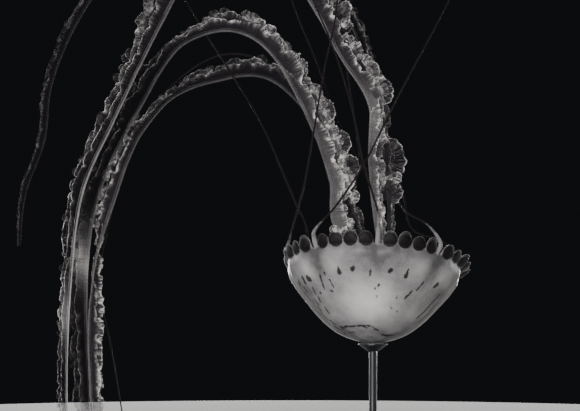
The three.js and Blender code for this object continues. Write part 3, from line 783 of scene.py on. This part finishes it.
def wing(course, form, rng):
    """One half of an arm. At share w from the rib to the edge a point lies size·w out from the rib; each
    ruffle lifts it by height·w^power times the sine of its turn, and slides it back along the arm by a
    third or a fifth of that times the sine of twice the turn. size swells into lobes. Between lobes the
    edge is drawn in, curls over the veil and is crumpled more, and everywhere it is nibbled at random. Also
    given: w, how crumpled each point is and how far out it lies."""
    distance, centre, way, out, side, width = course
    lean, reach, phase = form
    w = 1 - (1 - np.linspace(0, 1, WING_COLUMNS)) ** 1.3
    rib = rib_radius(width)
    lobes = lobed(distance, LOBE, rng)
    drawn = 1 - smooth(0, 0.75, lobes)
    if reach < 1:  # the narrow half
        reach = reach * (0.95 + 0.3 * wander(distance, NARROWINGS, rng))
    # between lobes a wing has three quarters of its width
    size = 1.5 * rib + (width - rib) * reach * (0.76 + 0.28 * lobes)
    # ruffles are low on a narrow wing, and fall to three fifths on the way to the arm's tip
    full = np.minimum(1, size / FULL_WING) * mix(0.6, 1, smooth(0.6, 0.25, distance / distance[-1]))
    coarse, fine = (1.2 * wander(distance, length, rng) for length in NIBBLES)
    nibble = (coarse + fine) * full
    curl = (0.3 + 0.7 * drawn * (0.5 + 0.5 * wander(distance, CURLS, rng)))[:, None] * smooth(0.5, 1, w)
    outward = size[:, None] * (w - 0.3 * curl) + nibble[:, None] * w**7
    lift = 0.22 * size[:, None] * curl
    # the quick ruffles keep no even beat, and stand higher between lobes
    slide, fold = 0 * outward, 0 * outward
    for length, height, power in RUFFLES:
        quick = length < SLOW
        turn = 2 * np.pi * (distance / length + phase) + quick * 2.4 * wander(distance, 2 * length, rng)
        swell = height * full * (1 + 0.5 * wander(distance, 3 * length, rng))
        grown = (swell * (1 + quick * (0.7 * drawn - 0.2)))[:, None] * w**power
        lift += grown * np.sin(turn)[:, None]
        slide -= (0.35 if quick else 0.2) * grown * np.sin(2 * turn)[:, None]
        fold += w**power * (1 - np.cos(2 * turn))[:, None] / 2
    c, s = math.cos(lean), math.sin(lean)
    points = (centre[:, None]
              + out[:, None] * (outward * c - lift * s)[..., None]
              + side[:, None] * (outward * s + lift * c)[..., None]
              + way[:, None] * slide[..., None])
    crumple = drawn[:, None] * smooth(0.35, 0.9, w) * (0.4 + 0.2 * fold)
    return points, w + 0 * fold, crumple, outward


# %% Two faces from one sheet
VEIL = 0.5  # thickness of the veil


def both_faces(values):
    """Numbers of a sheet's points for its front and then, columns backwards, for its back."""
    return np.concatenate([values, values[..., ::-1]], -1)


def thickened(sheet, thick):
    """Rings round a sheet. The cross product of the two ways along it gives its normal, which pushes one
    face up and the other down by half the thickness, and the faces meet round the edges."""
    normal = unit(np.cross(np.gradient(sheet, axis=-3), np.gradient(sheet, axis=-2)))
    half = normal * (thick / 2)[..., None]
    return np.concatenate([sheet + half, (sheet - half)[..., ::-1, :]], -2)


# %% [markdown]
# ## The arms' fans
#
# Where the frill grows fastest it can't stay in the arm's own sheet. It stands off in round fans, one beside
# another like the petals of a carnation, and their overlapping edges make the arm look dense. More waves on
# the wings would give longer edges but no overlaps, so the fans are sheets of their own.
#
# Most fans stand at random along the arm. A few are chosen one by one, where the animal shows a fan that the
# eye goes to.

# %% Round fans
FAN_ROWS = 24
FAN_COLUMNS = 12
FAN_RIM = 0.3  # thickness of the veil at a fan's rim
LARGE_FAN = 8  # a fan of a larger radius has a nibbled edge


def fans(hub, ahead, aside, radius, spread, rng):
    """Round fans, closed sheets all worked out at once. A fan opens from its hub by its spread to both
    sides of the way ahead. At share w from the hub to the rim it lies w of the radius away, up to a third
    less at its two sides, cups by w², and ripples by w³ times a sine that runs twice round it and one that
    runs five times. Also given: w, and how far each point is round the fan and out from its hub."""
    count = len(radius)
    turn = np.linspace(-1, 1, FAN_ROWS)
    w = mix(0.05, 1, 1 - (1 - np.linspace(0, 1, FAN_COLUMNS)) ** 1.4)
    angle = (spread[:, None] * turn)[..., None]
    nibble = 0.05 * rng.uniform(-1, 1, (count, FAN_ROWS)) * (radius[:, None] > LARGE_FAN)
    outline = radius[:, None] * (1 - 0.3 * np.abs(turn) ** 2.5 + nibble)
    reach = outline[..., None] * w
    phase = rng.uniform(0, 2 * np.pi, (2, count, 1, 1))
    slow, quick = (np.sin(k * np.pi * turn[:, None] + each) for k, each in zip((2, 5), phase))
    cup = rng.uniform(-0.3, 0.3, (count, 1, 1))
    lift = reach * (cup * w + 0.13 * slow * w**2 + 0.07 * quick * w**3)
    facing = np.cross(ahead, aside)
    sheet = (hub[:, None, None]
             + ahead[:, None, None] * (reach * np.cos(angle))[..., None]
             + aside[:, None, None] * (reach * np.sin(angle))[..., None]
             + facing[:, None, None] * lift[..., None])
    rings = thickened(sheet, mix(VEIL, FAN_RIM, w))
    return rings, np.broadcast_to(w, reach.shape), angle * radius[:, None, None] + 0 * reach, reach


# %% Where the fans stand
FAN_GAPS = (5, 17)  # along the arm, from one random fan to the next
FAN_RADII = (0.24, 0.44)  # as shares of the arm's width
BARE_FOOT = 50  # how much of the arm's foot has no random fans
BARE_TIP = 6


def random_fans(course, dense, rng):
    """Fans at random along the arm's edge, each as wide as a share of the arm, tilted at random along it
    and out of its plane. For each: its hub, the way ahead, the way aside, its radius, its half-spread, how
    milky it is and how sharply it is lined."""
    distance, centre, way, out, side, width = course
    at = np.cumsum(rng.uniform(*FAN_GAPS, int(distance[-1] / FAN_GAPS[0])))
    at = at[(at > BARE_FOOT) & (at < distance[-1] - BARE_TIP)]
    tilt, lean, size, back = rng.uniform(-1, 1, (4, len(at)))
    here, along, outward, behind = (
        np.stack([np.interp(at, distance, part) for part in values.T], -1)
        for values in (centre, way, out, side))
    broad = np.interp(at, distance, width)
    hub = here + outward * (broad * (0.52 + 0.1 * size))[:, None] + behind * (1.5 * back)[:, None]
    ahead = unit(outward + along * (0.5 * tilt)[:, None] + behind * (0.6 * lean)[:, None])
    aside = unit(np.cross(behind, ahead))
    radius, spread = broad * mix(*FAN_RADII, (size + 1) / 2), np.radians(68 + 16 * back)
    glow, line = (np.interp(at / distance[-1], STATIONS, values) for values in dense)
    return hub, ahead, aside, radius, spread, glow * rng.uniform(0.4, 1.3, len(at)), 0.5 * line


def chosen_fans(table):
    """The same for the fans in a table. They open in the view from the front, with a slight lean towards
    it."""
    x, y, z, radius, heading, spread, glow = np.array(table, float).T
    heading = np.radians(heading)
    ahead = np.stack([np.cos(heading), -0.15 + 0 * heading, np.sin(heading)], -1)
    aside = unit(np.cross(ahead, (0.0, 1.0, 0.0)))
    line = np.minimum(0.9, 0.4 + glow)
    return np.stack([x, y, z], -1), unit(ahead), aside, radius, np.radians(spread), glow, line


print(f"{len(FANS_1) + len(FANS_3)} chosen fans")


# %% All fans of an arm
def fan_skin(name, course, dense, chosen, material, nodes, rng):
    """The random fans and the chosen ones in one piece. A small fan is crumpled, most near its hub."""
    traits = random_fans(course, dense, rng)
    if chosen:
        traits = [np.concatenate(pair) for pair in zip(traits, chosen_fans(chosen))]
    *form, glow, line = traits
    rings, share, around, reach = fans(*form, rng)
    radius = form[3]
    crumple = 0.45 * smooth(1.0, 0.1, share) * smooth(20, 8, radius)[:, None, None]
    numbers = {
        "frill": share, "crumple": crumple, "start": 0 * share + 0.3, "haze": 0 * share,
        "glow": glow[:, None, None] + 0 * share, "line": line[:, None, None] + 0 * share,
    }
    attributes = {key: both_faces(values) for key, values in numbers.items()}
    uv = both_faces(around * MM), both_faces(reach * MM)
    return skin(f"{name}_fans", rings * MM, attributes, material, nodes, uv)


# %% A whole arm
def arm_skin(name, foot, points, dense, chosen, material, seed):
    """An arm from its foot at the mouth along its route: the two wings, joined along the rib into one
    sheet, which is as thick as the rib there and as thin as the veil beyond, and the fans."""
    rng = np.random.default_rng(seed)
    spread, angle = math.hypot(*foot), math.atan2(foot[0], -foot[1])
    start = [[*in_bell(angle, spread, MOUTH_HEIGHT + rise), 7, 0] for rise in (-3, 12)]
    distance, centre, way, rest = routed(start + points, ARM_STEP)
    width, turn = rest[:, 0], np.radians(rest[:, 1])
    course = distance, centre, way, *across(way, turn), width
    halves = [wing(course, form, rng) for form in WINGS]
    sheet, share, crumple, reach = (
        np.concatenate([right[:, :0:-1], left], 1) for left, right in zip(*halves))
    reach[:, : WING_COLUMNS - 1] *= -1
    rib = rib_radius(width)[:, None]
    thick = mix(2 * rib, VEIL, smooth(0, 0.16, share)) * mix(1, 0.6, smooth(0.9, 1, share))
    rings = thickened(sheet, thick) * MM

    along = np.broadcast_to(distance[:, None], share.shape)
    glow, line = (np.interp(along / distance[-1], STATIONS, values) for values in dense)
    haze = MOUTH_HAZE * np.interp(0, STATIONS, dense[0]) * smooth(*MOUTH_HAZE_ENDS, along)
    for middle, length, strength in HAZES.get(name, []):
        off = along + HAZE_SLANT * np.abs(reach) - middle
        haze = haze + strength * np.exp(-((off / length) ** 2))
    numbers = {
        "frill": share, "crumple": crumple, "start": along * MM, "haze": haze, "glow": glow, "line": line,
    }
    attributes = {key: both_faces(values) for key, values in numbers.items()}
    uv = both_faces(along * MM), both_faces(reach * MM)
    nodes = [f"{name}_length_{i + 1}" for i in range(5)]
    skin(f"{name}_skin", rings, attributes, material, nodes, uv)
    fan_skin(name, course, dense, chosen, material, nodes, rng)


# %% [markdown]
# ## The arms' veil
#
# The veil is thinner than a millimetre and nearly clear, so it mostly shows what is behind it. It turns
# milky along the rib, in faint streaks that run out from the rib, and above all at the frilled edge, which
# is packed with stinging cells. Alpha carries all of that: it is the share of light that the surface stops.
# A refracting film would be nearer to the real one, but it is slow and shows nothing that alpha doesn't.
#
# The animal is seen under water. Jelly and water bend light almost alike, so nothing glints on the veil, and
# the material has no gloss.

# %% The veil's material
VEIL_MILK = linear("#ECE8E6")
SMOKE = linear("#4A454A")
# the smoke where the glow is low, darker as painted shade
SHADED_SMOKE = linear("#151216")
MOST_ALPHA = 0.96  # even the milkiest fold lets a little light through


def veil_textures(tree):
    """Noises on Object coordinates, and streaks that run out from the rib, because their noise is drawn out
    tenfold across the arm."""
    where = add_node(tree, "ShaderNodeTexCoord").outputs["Object"]
    beads, tufts, cloud, patch = (  # 1.3 mm across, 4.5 mm, 11 mm and 16 mm
        add_node(tree, NOISE, {"Vector": where, "Scale": 1 / (size * MM), "Detail": octaves, **ROUGH})
        for size, octaves in ((1.3, 2), (4.5, 4), (11, 4), (16, 2)))
    lie = add_node(tree, "ShaderNodeUVMap", uv_map="Lie")  # metres along the arm, and out from the rib
    drawn = add_node(tree, "ShaderNodeMapping", {"Vector": lie, "Scale": (1.0, 0.1, 1.0)})
    streak = add_node(tree, NOISE, {"Vector": drawn, "Scale": 1 / (1.5 * MM), "Detail": 3, **ROUGH})
    return beads, tufts, cloud, patch, streak


def veil_milk(tree, glow, beads, tufts, patch, streak):
    """How milky the veil is. Streaks, fibres and tufts add up and are multiplied by the glow, lines along
    the rib and the rim are multiplied by the arm's sharpness of line, and the haze comes on top."""
    frill, crumple, start, line, haze = (
        add_node(tree, ATTRIBUTE, attribute_name=name).outputs["Fac"]
        for name in ("frill", "crumple", "start", "line", "haze"))
    web = add_node(tree, RANGE, [frill, 0.1, 0.95], **EASED)
    fringe = add_node(tree, RANGE, [frill, 0.55, 1], **EASED)
    milk = 0.0
    for here, texture, dull, dense, least, most in (
        (web, streak, 0.45, 0.72, 0, 0.12),  # streaks over the web
        (fringe, streak, 0.48, 0.67, 0.02, 0.42),  # fibres towards the edge
        (crumple, tufts, 0.38, 0.63, 0.08, 1.5),  # tufts where it is crumpled
    ):
        there = add_node(tree, RANGE, [texture, dull, dense, least, most], **EASED)
        milk = add_node(tree, MATH, [here, there, milk], operation="MULTIPLY_ADD")

    rib = add_node(tree, RANGE, [frill, 0.1, 0.0, 0.0, 0.3], **EASED)
    away = add_node(tree, RANGE, [start, 120 * MM, 280 * MM, 0.4, 1.0], **EASED)  # from the mouth
    rib = add_node(tree, MATH, [rib, away], operation="MULTIPLY")
    rim = add_node(tree, RANGE, [frill, 0.93, 0.995], **EASED)
    for texture, low, high, least, most in ((beads, 0.38, 0.62, 0.1, 0.8), (patch, 0.42, 0.6, 0.25, 1.0)):
        uneven = add_node(tree, RANGE, [texture, low, high, least, most], **EASED)
        rim = add_node(tree, MATH, [rim, uneven], operation="MULTIPLY")
    lines = add_node(tree, MATH, [rib, rim], operation="ADD")
    lines = add_node(tree, MATH, [lines, line], operation="MULTIPLY")

    milk = add_node(tree, MATH, [milk, glow, lines], operation="MULTIPLY_ADD")
    uneven = add_node(tree, RANGE, [streak, 0.3, 0.7, 0.75, 1.25], **EASED)
    return add_node(tree, MATH, [haze, uneven, milk], operation="MULTIPLY_ADD")


def arm_veil():
    """Oral-arm membrane, grown as a thin film: a smoky web, milky along its rib, with faint streaks, with
    tufts where it is crumpled and with a white, beaded line along its edge. The more milk there is, the
    whiter and the less clear it is. Where the glow is low the smoke is darker, which is painted shade."""
    material, tree = new_material("moist_oral_arm_veil")
    glow = add_node(tree, ATTRIBUTE, attribute_name="glow").outputs["Fac"]
    beads, tufts, cloud, patch, streak = veil_textures(tree)
    milk = veil_milk(tree, glow, beads, tufts, patch, streak)
    # the smoke is darker where the glow is low: painted shade
    smoke = add_node(tree, MIX, [glow, SHADED_SMOKE, SMOKE], **COLOUR)
    whiteness = add_node(tree, MATH, [milk, 2.5], operation="MULTIPLY")
    colour = add_node(tree, MIX, [whiteness, smoke, VEIL_MILK], **COLOUR)
    clear = add_node(tree, RANGE, [cloud, 0.35, 0.7, 0.17, 0.32], **EASED)
    alpha = add_node(tree, MATH, [milk, clear], operation="ADD")
    alpha = add_node(tree, MATH, [alpha, MOST_ALPHA], operation="MINIMUM")
    bump = add_node(tree, BUMP, {"Height": beads, "Strength": 0.3, "Distance": 0.5 * MM})
    shader = add_node(tree, "ShaderNodeBsdfPrincipled", {
        "Base Color": colour, "Alpha": alpha, "Normal": bump, "Roughness": 0.5, "IOR": 1.36,
        "Specular IOR Level": 0.0})
    add_node(tree, "ShaderNodeOutputMaterial", {"Surface": shader})
    return material


# %% The four arms
FIRST_SEED = 20

veil = arm_veil()
for number, (name, (foot, dense, chosen, points)) in enumerate(ARMS.items()):
    arm_skin(name, foot, points, dense, chosen, veil, FIRST_SEED + number)

# %% [markdown]
# ## The mouth column
#
# The arms grow from a short column of the same flesh, the mouth, which hangs from the floor of the bell's
# hollow. Four clefts divide it into four lips. It is a circle carried along its axis, with a radius and a
# height that follow the cosine of four times the angle, so one formula gives clefts and lips together.

# %% The mouth column
MOUTH_SIDES = 144
MOUTH_ROWS = 40
LIP_ROWS = 18
LIP_WALL = 2.4


def mouth_column():
    """A column from the hollow's floor to the arms. The radius falls by a share of the cosine of four times
    the angle, more towards the top, where the lips between the clefts stand higher by the same cosine. The
    lips turn over and run down inside to a floor at half the height."""
    angle = np.arange(MOUTH_SIDES) * 2 * np.pi / MOUTH_SIDES
    rise = np.concatenate([np.linspace(0, 1, MOUTH_ROWS), np.linspace(0.985, 0.5, LIP_ROWS)])[:, None]
    inward = np.concatenate([np.zeros(MOUTH_ROWS), np.linspace(0.35, 1, LIP_ROWS) ** 0.5])[:, None]
    floor_height = wall(np.zeros(1), np.array([FLOOR]), thickness(FLOOR))[1][0, 0]
    waist = MOUTH_RADIUS * (0.72 + 0.2 * (1 - rise) ** 4 + 0.18 * rise**3)
    pleats = 0.05 * np.sin(11 * angle + 4 * rise) * rise
    radius = waist * (1 - 0.24 * rise * np.cos(4 * angle) + pleats) - LIP_WALL * inward
    height = mix(floor_height + 0.2, MOUTH_HEIGHT - 3, rise) - 7 * rise**4 * np.cos(4 * angle)
    rings = in_bell(angle, radius, height) * MM
    even = np.ones(radius.shape)
    attributes = {
        "frill": mix(0.06, 0.5, inward * even), "crumple": 0.1 * rise**6 * even, "start": 0.02 * even,
        "haze": 0.14 * even, "glow": 0.55 * even, "line": 0.5 * even,
    }
    uv = 0.015 * angle * even, 0.05 * rise * even  # metres round the column and up it
    return skin("mouth_column_skin", rings, attributes, veil, ["mouth_column"], uv)


mouth_column()

# %% [markdown]
# ## The tentacles
#
# Eight tentacles trail from the margin, one to an octant. Each starts as a pale, thick root in its furrow
# and thins within a few centimetres to a dark thread about two millimetres across. A tentacle is a circle
# carried along its route. A curve with a bevel would make the same tube, but these rings also carry how far
# each is from the root, and the colour follows that.

# %% Routes of the tentacles
TENTACLES = {
    "tentacle_1": (0, [[3, -76, 247], [-4, -68, 274], [-11, -62, 298], [-21, -60, 346], [-36, -60, 398],
                       [-60, -56, 457], [-90, -50, 520]]),
    "tentacle_2": (1, [[54, -48, 236], [35, -30, 248], [22, 28, 266], [-11, 38, 301], [-35, 30, 343],
                       [-57, 24, 403], [-80, 30, 461], [-90, 36, 505]]),
    "tentacle_3": (2, [[74, 28, 218], [41, 72, 234], [33, 90, 271], [12, 96, 330], [-10, 94, 400],
                       [-30, 86, 470], [-40, 84, 530]]),
    "tentacle_4": (3, [[40, 74, 205], [23, 78, 231], [8, 82, 257], [-8, 72, 292], [-18, 60, 350],
                       [-30, 46, 420], [-46, 40, 480]]),
    "tentacle_5": (4, [[-11, 82, 231], [-38, 84, 292], [-64, 86, 352], [-104, 86, 402], [-150, 86, 412],
                       [-198, 84, 386], [-240, 80, 330], [-266, 76, 250], [-278, 72, 176], [-266, 68, 112],
                       [-252, 66, 30]]),
    "tentacle_6": (5, [[-67, 48, 236], [-76, 40, 256], [-111, 24, 337], [-140, 20, 386], [-175, 20, 441],
                       [-222, 14, 522]]),
    "tentacle_7": (6, [[-82, -5, 229], [-68, -30, 281], [-59, -46, 333], [-49, -48, 392], [-38, -48, 444],
                       [-36, -46, 500], [-44, -40, 556]]),
    "tentacle_8": (7, [[-59, -57, 232], [-39, -54, 255], [-11, -45, 296], [23, -42, 363], [75, -36, 461],
                       [108, -30, 536]]),
}

# %% A tentacle's surface
TENTACLE_SHAFT = 1.05  # radius at the root's end
TENTACLE_TIP = 0.7
TENTACLE_SWELL = 38  # length of the thick root
TENTACLE_STEP = 1.5
TENTACLE_SIDES = 12
BUDS = ((-0.15, 1), (0.8, 2))  # where it leaves the bell: share of a lappet's length, walls below its face


def tentacle_skin(name, octant, points, material):
    """Rings of the tentacle's radius, which eases from the root's to the shaft's over the swell and then
    tapers to the tip. The last millimetres round off."""
    angle = octant * OCTANT
    buds = [flap(angle, LAPPET_LENGTH, share, LAPPET_WALL * walls).ravel() for share, walls in BUDS]
    distance, centre, way, _ = routed([*buds, *points], TENTACLE_STEP)
    out, side = across(way, 0 * distance)
    shaft = mix(TENTACLE_SHAFT, TENTACLE_TIP, distance / distance[-1])
    radius = mix(TENTACLE_ROOT, shaft, smooth(0, TENTACLE_SWELL, distance))
    radius = radius * np.sqrt(np.clip((distance[-1] - distance) / 3, 0.02, 1))
    turn = np.arange(TENTACLE_SIDES) * 2 * np.pi / TENTACLE_SIDES
    ring = out[:, None] * np.cos(turn)[:, None] + side[:, None] * np.sin(turn)[:, None]
    rings = (centre[:, None] + ring * radius[:, None, None]) * MM
    gone = np.broadcast_to(distance[:, None], rings.shape[:2]) * MM
    nodes = [f"{name}_{part}" for part in ("root", "shaft", "tip")]
    return skin(f"{name}_skin", rings, {"gone": gone}, material, nodes)


# %% The tentacles' material
ROOT_MILK = linear("#8B8889")
PLUM_THREAD = linear("#211D1F")
ROOT_END = (12 * MM, 42 * MM)  # from the root's start, where milky flesh turns to plum


def tentacle_flesh():
    """Tentacle flesh, as it grew: milky and soft at the root and plum along the thread, with a knobbly skin
    of stinging cells and, under water, almost no gloss."""
    material, tree = new_material("moist_tentacle_flesh")
    gone = add_node(tree, ATTRIBUTE, attribute_name="gone").outputs["Fac"]
    where = add_node(tree, "ShaderNodeTexCoord").outputs["Object"]
    mottle = add_node(tree, NOISE, {"Vector": where, "Scale": 1 / (3 * MM), "Detail": 3})  # 3 mm across
    uneven = add_node(tree, RANGE, [mottle, 0.2, 0.8, -8 * MM, 8 * MM], **EASED)
    gone = add_node(tree, MATH, [gone, uneven], operation="ADD")
    dark = add_node(tree, RANGE, [gone, *ROOT_END], **EASED)
    colour = add_node(tree, MIX, [dark, ROOT_MILK, PLUM_THREAD], **COLOUR)
    bump = add_node(tree, BUMP, {"Height": mottle, "Strength": 0.3, "Distance": 0.3 * MM})
    shader = add_node(tree, "ShaderNodeBsdfPrincipled", {
        "Base Color": colour, "Normal": bump, "Roughness": 0.6, "IOR": 1.36, "Specular IOR Level": 0.05})
    add_node(tree, "ShaderNodeOutputMaterial", {"Surface": shader})
    return material


# %% The eight tentacles
flesh = tentacle_flesh()
for name, (octant, points) in TENTACLES.items():
    tentacle_skin(name, octant, points, flesh)

# %% [markdown]
# ## The stand
#
# The base, rod and cup are a plain steel stand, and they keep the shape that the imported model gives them.
# They have a satin black powder coat: plastic powder, sprayed on dry and baked, which runs together into a
# fine pebbled skin. It leaves broad, soft highlights, a little duller where hands have worn it. The pebbles
# are in a bump alone, because they are too low to change an outline.

# %% Powder-coated steel
COAT, WORN_COAT = linear("#1B1C1F"), linear("#26272A")


def powder_coat():
    """Satin black powder coat on steel: near-black, with pebbles half a millimetre across, and greyer in
    patches some 40 mm across."""
    material, tree = new_material("satin_powder_coated_steel")
    where = add_node(tree, "ShaderNodeTexCoord").outputs["Object"]
    pebbles, wear = (  # pebbles 0.5 mm across, worn patches 40 mm
        add_node(tree, NOISE, {"Vector": where, "Scale": 1 / (size * MM), "Detail": octaves})
        for size, octaves in ((0.5, 2), (40, 4)))
    colour = add_node(tree, MIX, [wear, COAT, WORN_COAT], **COLOUR)
    gloss = add_node(tree, RANGE, [wear, 0.3, 0.7, 0.36, 0.48], **EASED)
    bump = add_node(tree, BUMP, {"Height": pebbles, "Strength": 0.2, "Distance": 0.1 * MM})
    shader = add_node(tree, "ShaderNodeBsdfPrincipled", {
        "Base Color": colour, "Roughness": gloss, "Normal": bump})
    add_node(tree, "ShaderNodeOutputMaterial", {"Surface": shader})
    return material


coat = powder_coat()
for node in ("stand_base", "stand_rod", "stand_cup"):
    stand_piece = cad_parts[node]
    for slot in stand_piece.material_slots:
        slot.material = coat

# %% [markdown]
# ## Floor, backdrop and light
#
# A clear, milky animal only shows against the dark, so the room is dark and the light comes from softboxes
# that the camera can't see. A broad one in front and to the left shapes the bell, and one above lights the
# arms. Four stand behind, two as high as the arms, for the veils' edges, and two low, for the bell's sides.
# The floor is a plain pale disc.

# %% Floor
FLOOR_RADIUS = 0.95
FLOOR_SIDES = 128
BOARD, PALE_BOARD = linear("#A9A8A6"), linear("#B3B2B0")


def pale_floor():
    """A disc of matte, pale grey board that the stand rests on, faintly speckled 6 mm across."""
    angle = np.arange(FLOOR_SIDES) * 2 * np.pi / FLOOR_SIDES
    x, y = VIEW_CENTRE[0] + FLOOR_RADIUS * np.cos(angle), FLOOR_RADIUS * np.sin(angle)
    mesh = bpy.data.meshes.new("floor")
    mesh.from_pydata(np.stack([x, y, 0 * angle], -1), [], [list(range(FLOOR_SIDES))])
    material, tree = new_material("matte_pale_board")
    where = add_node(tree, "ShaderNodeTexCoord").outputs["Object"]
    speckle = add_node(tree, NOISE, {"Vector": where, "Scale": 1 / (6 * MM), "Detail": 4})
    colour = add_node(tree, MIX, [speckle, BOARD, PALE_BOARD], **COLOUR)
    shader = add_node(tree, "ShaderNodeBsdfPrincipled", {"Base Color": colour, "Roughness": 0.85})
    add_node(tree, "ShaderNodeOutputMaterial", {"Surface": shader})
    mesh.materials.append(material)
    floor = bpy.data.objects.new("floor", mesh)
    bpy.context.collection.objects.link(floor)


pale_floor()


# %% Softboxes
def softbox(name, place_at, aim, width, height, power):
    """A rectangular light that points at aim and stays out of the picture itself."""
    lamp = bpy.data.lights.new(name, "AREA")
    lamp.shape = "RECTANGLE"
    lamp.size, lamp.size_y = width, height
    lamp.energy = power
    box = bpy.data.objects.new(name, lamp)
    box.location = place_at
    way = np.array(aim) - np.array(place_at)
    box.rotation_mode = "QUATERNION"
    box.rotation_quaternion = Vector(way).to_track_quat("-Z", "Y")
    box.visible_camera = False
    bpy.context.collection.objects.link(box)


BELL_CENTRE = tuple((bell_low + bell_high) / 2)
ARMS_CENTRE = (-0.15, 0.0, 0.36)
# name, where it stands, what it points at, width and height in metres, power in watts
softbox("key_softbox", (-0.55, -1.8, 0.3), BELL_CENTRE, 0.8, 0.7, 33)
softbox("top_softbox", (-0.1, -0.1, 1.9), ARMS_CENTRE, 1.8, 1.8, 26)
softbox("left_edge_softbox", (-1.5, 1.3, 0.6), ARMS_CENTRE, 0.8, 1.2, 14)
softbox("right_edge_softbox", (1.5, 1.1, 0.4), BELL_CENTRE, 0.8, 1.2, 16)
softbox("low_left_softbox", (-0.45, 1.9, 0.12), BELL_CENTRE, 0.9, 0.2, 14)
softbox("low_right_softbox", (0.5, 1.9, 0.12), BELL_CENTRE, 0.9, 0.2, 14)

# %% The dark room
world = bpy.data.worlds.new("dark_room")
world.use_nodes = True
backdrop = world.node_tree.nodes["Background"].inputs
backdrop["Color"].default_value = linear("#232427")
backdrop["Strength"].default_value = 0.35
bpy.context.scene.world = world
bpy.context.scene.cycles.transparent_max_bounces = 64  # a ray may pass this many faces of the veil
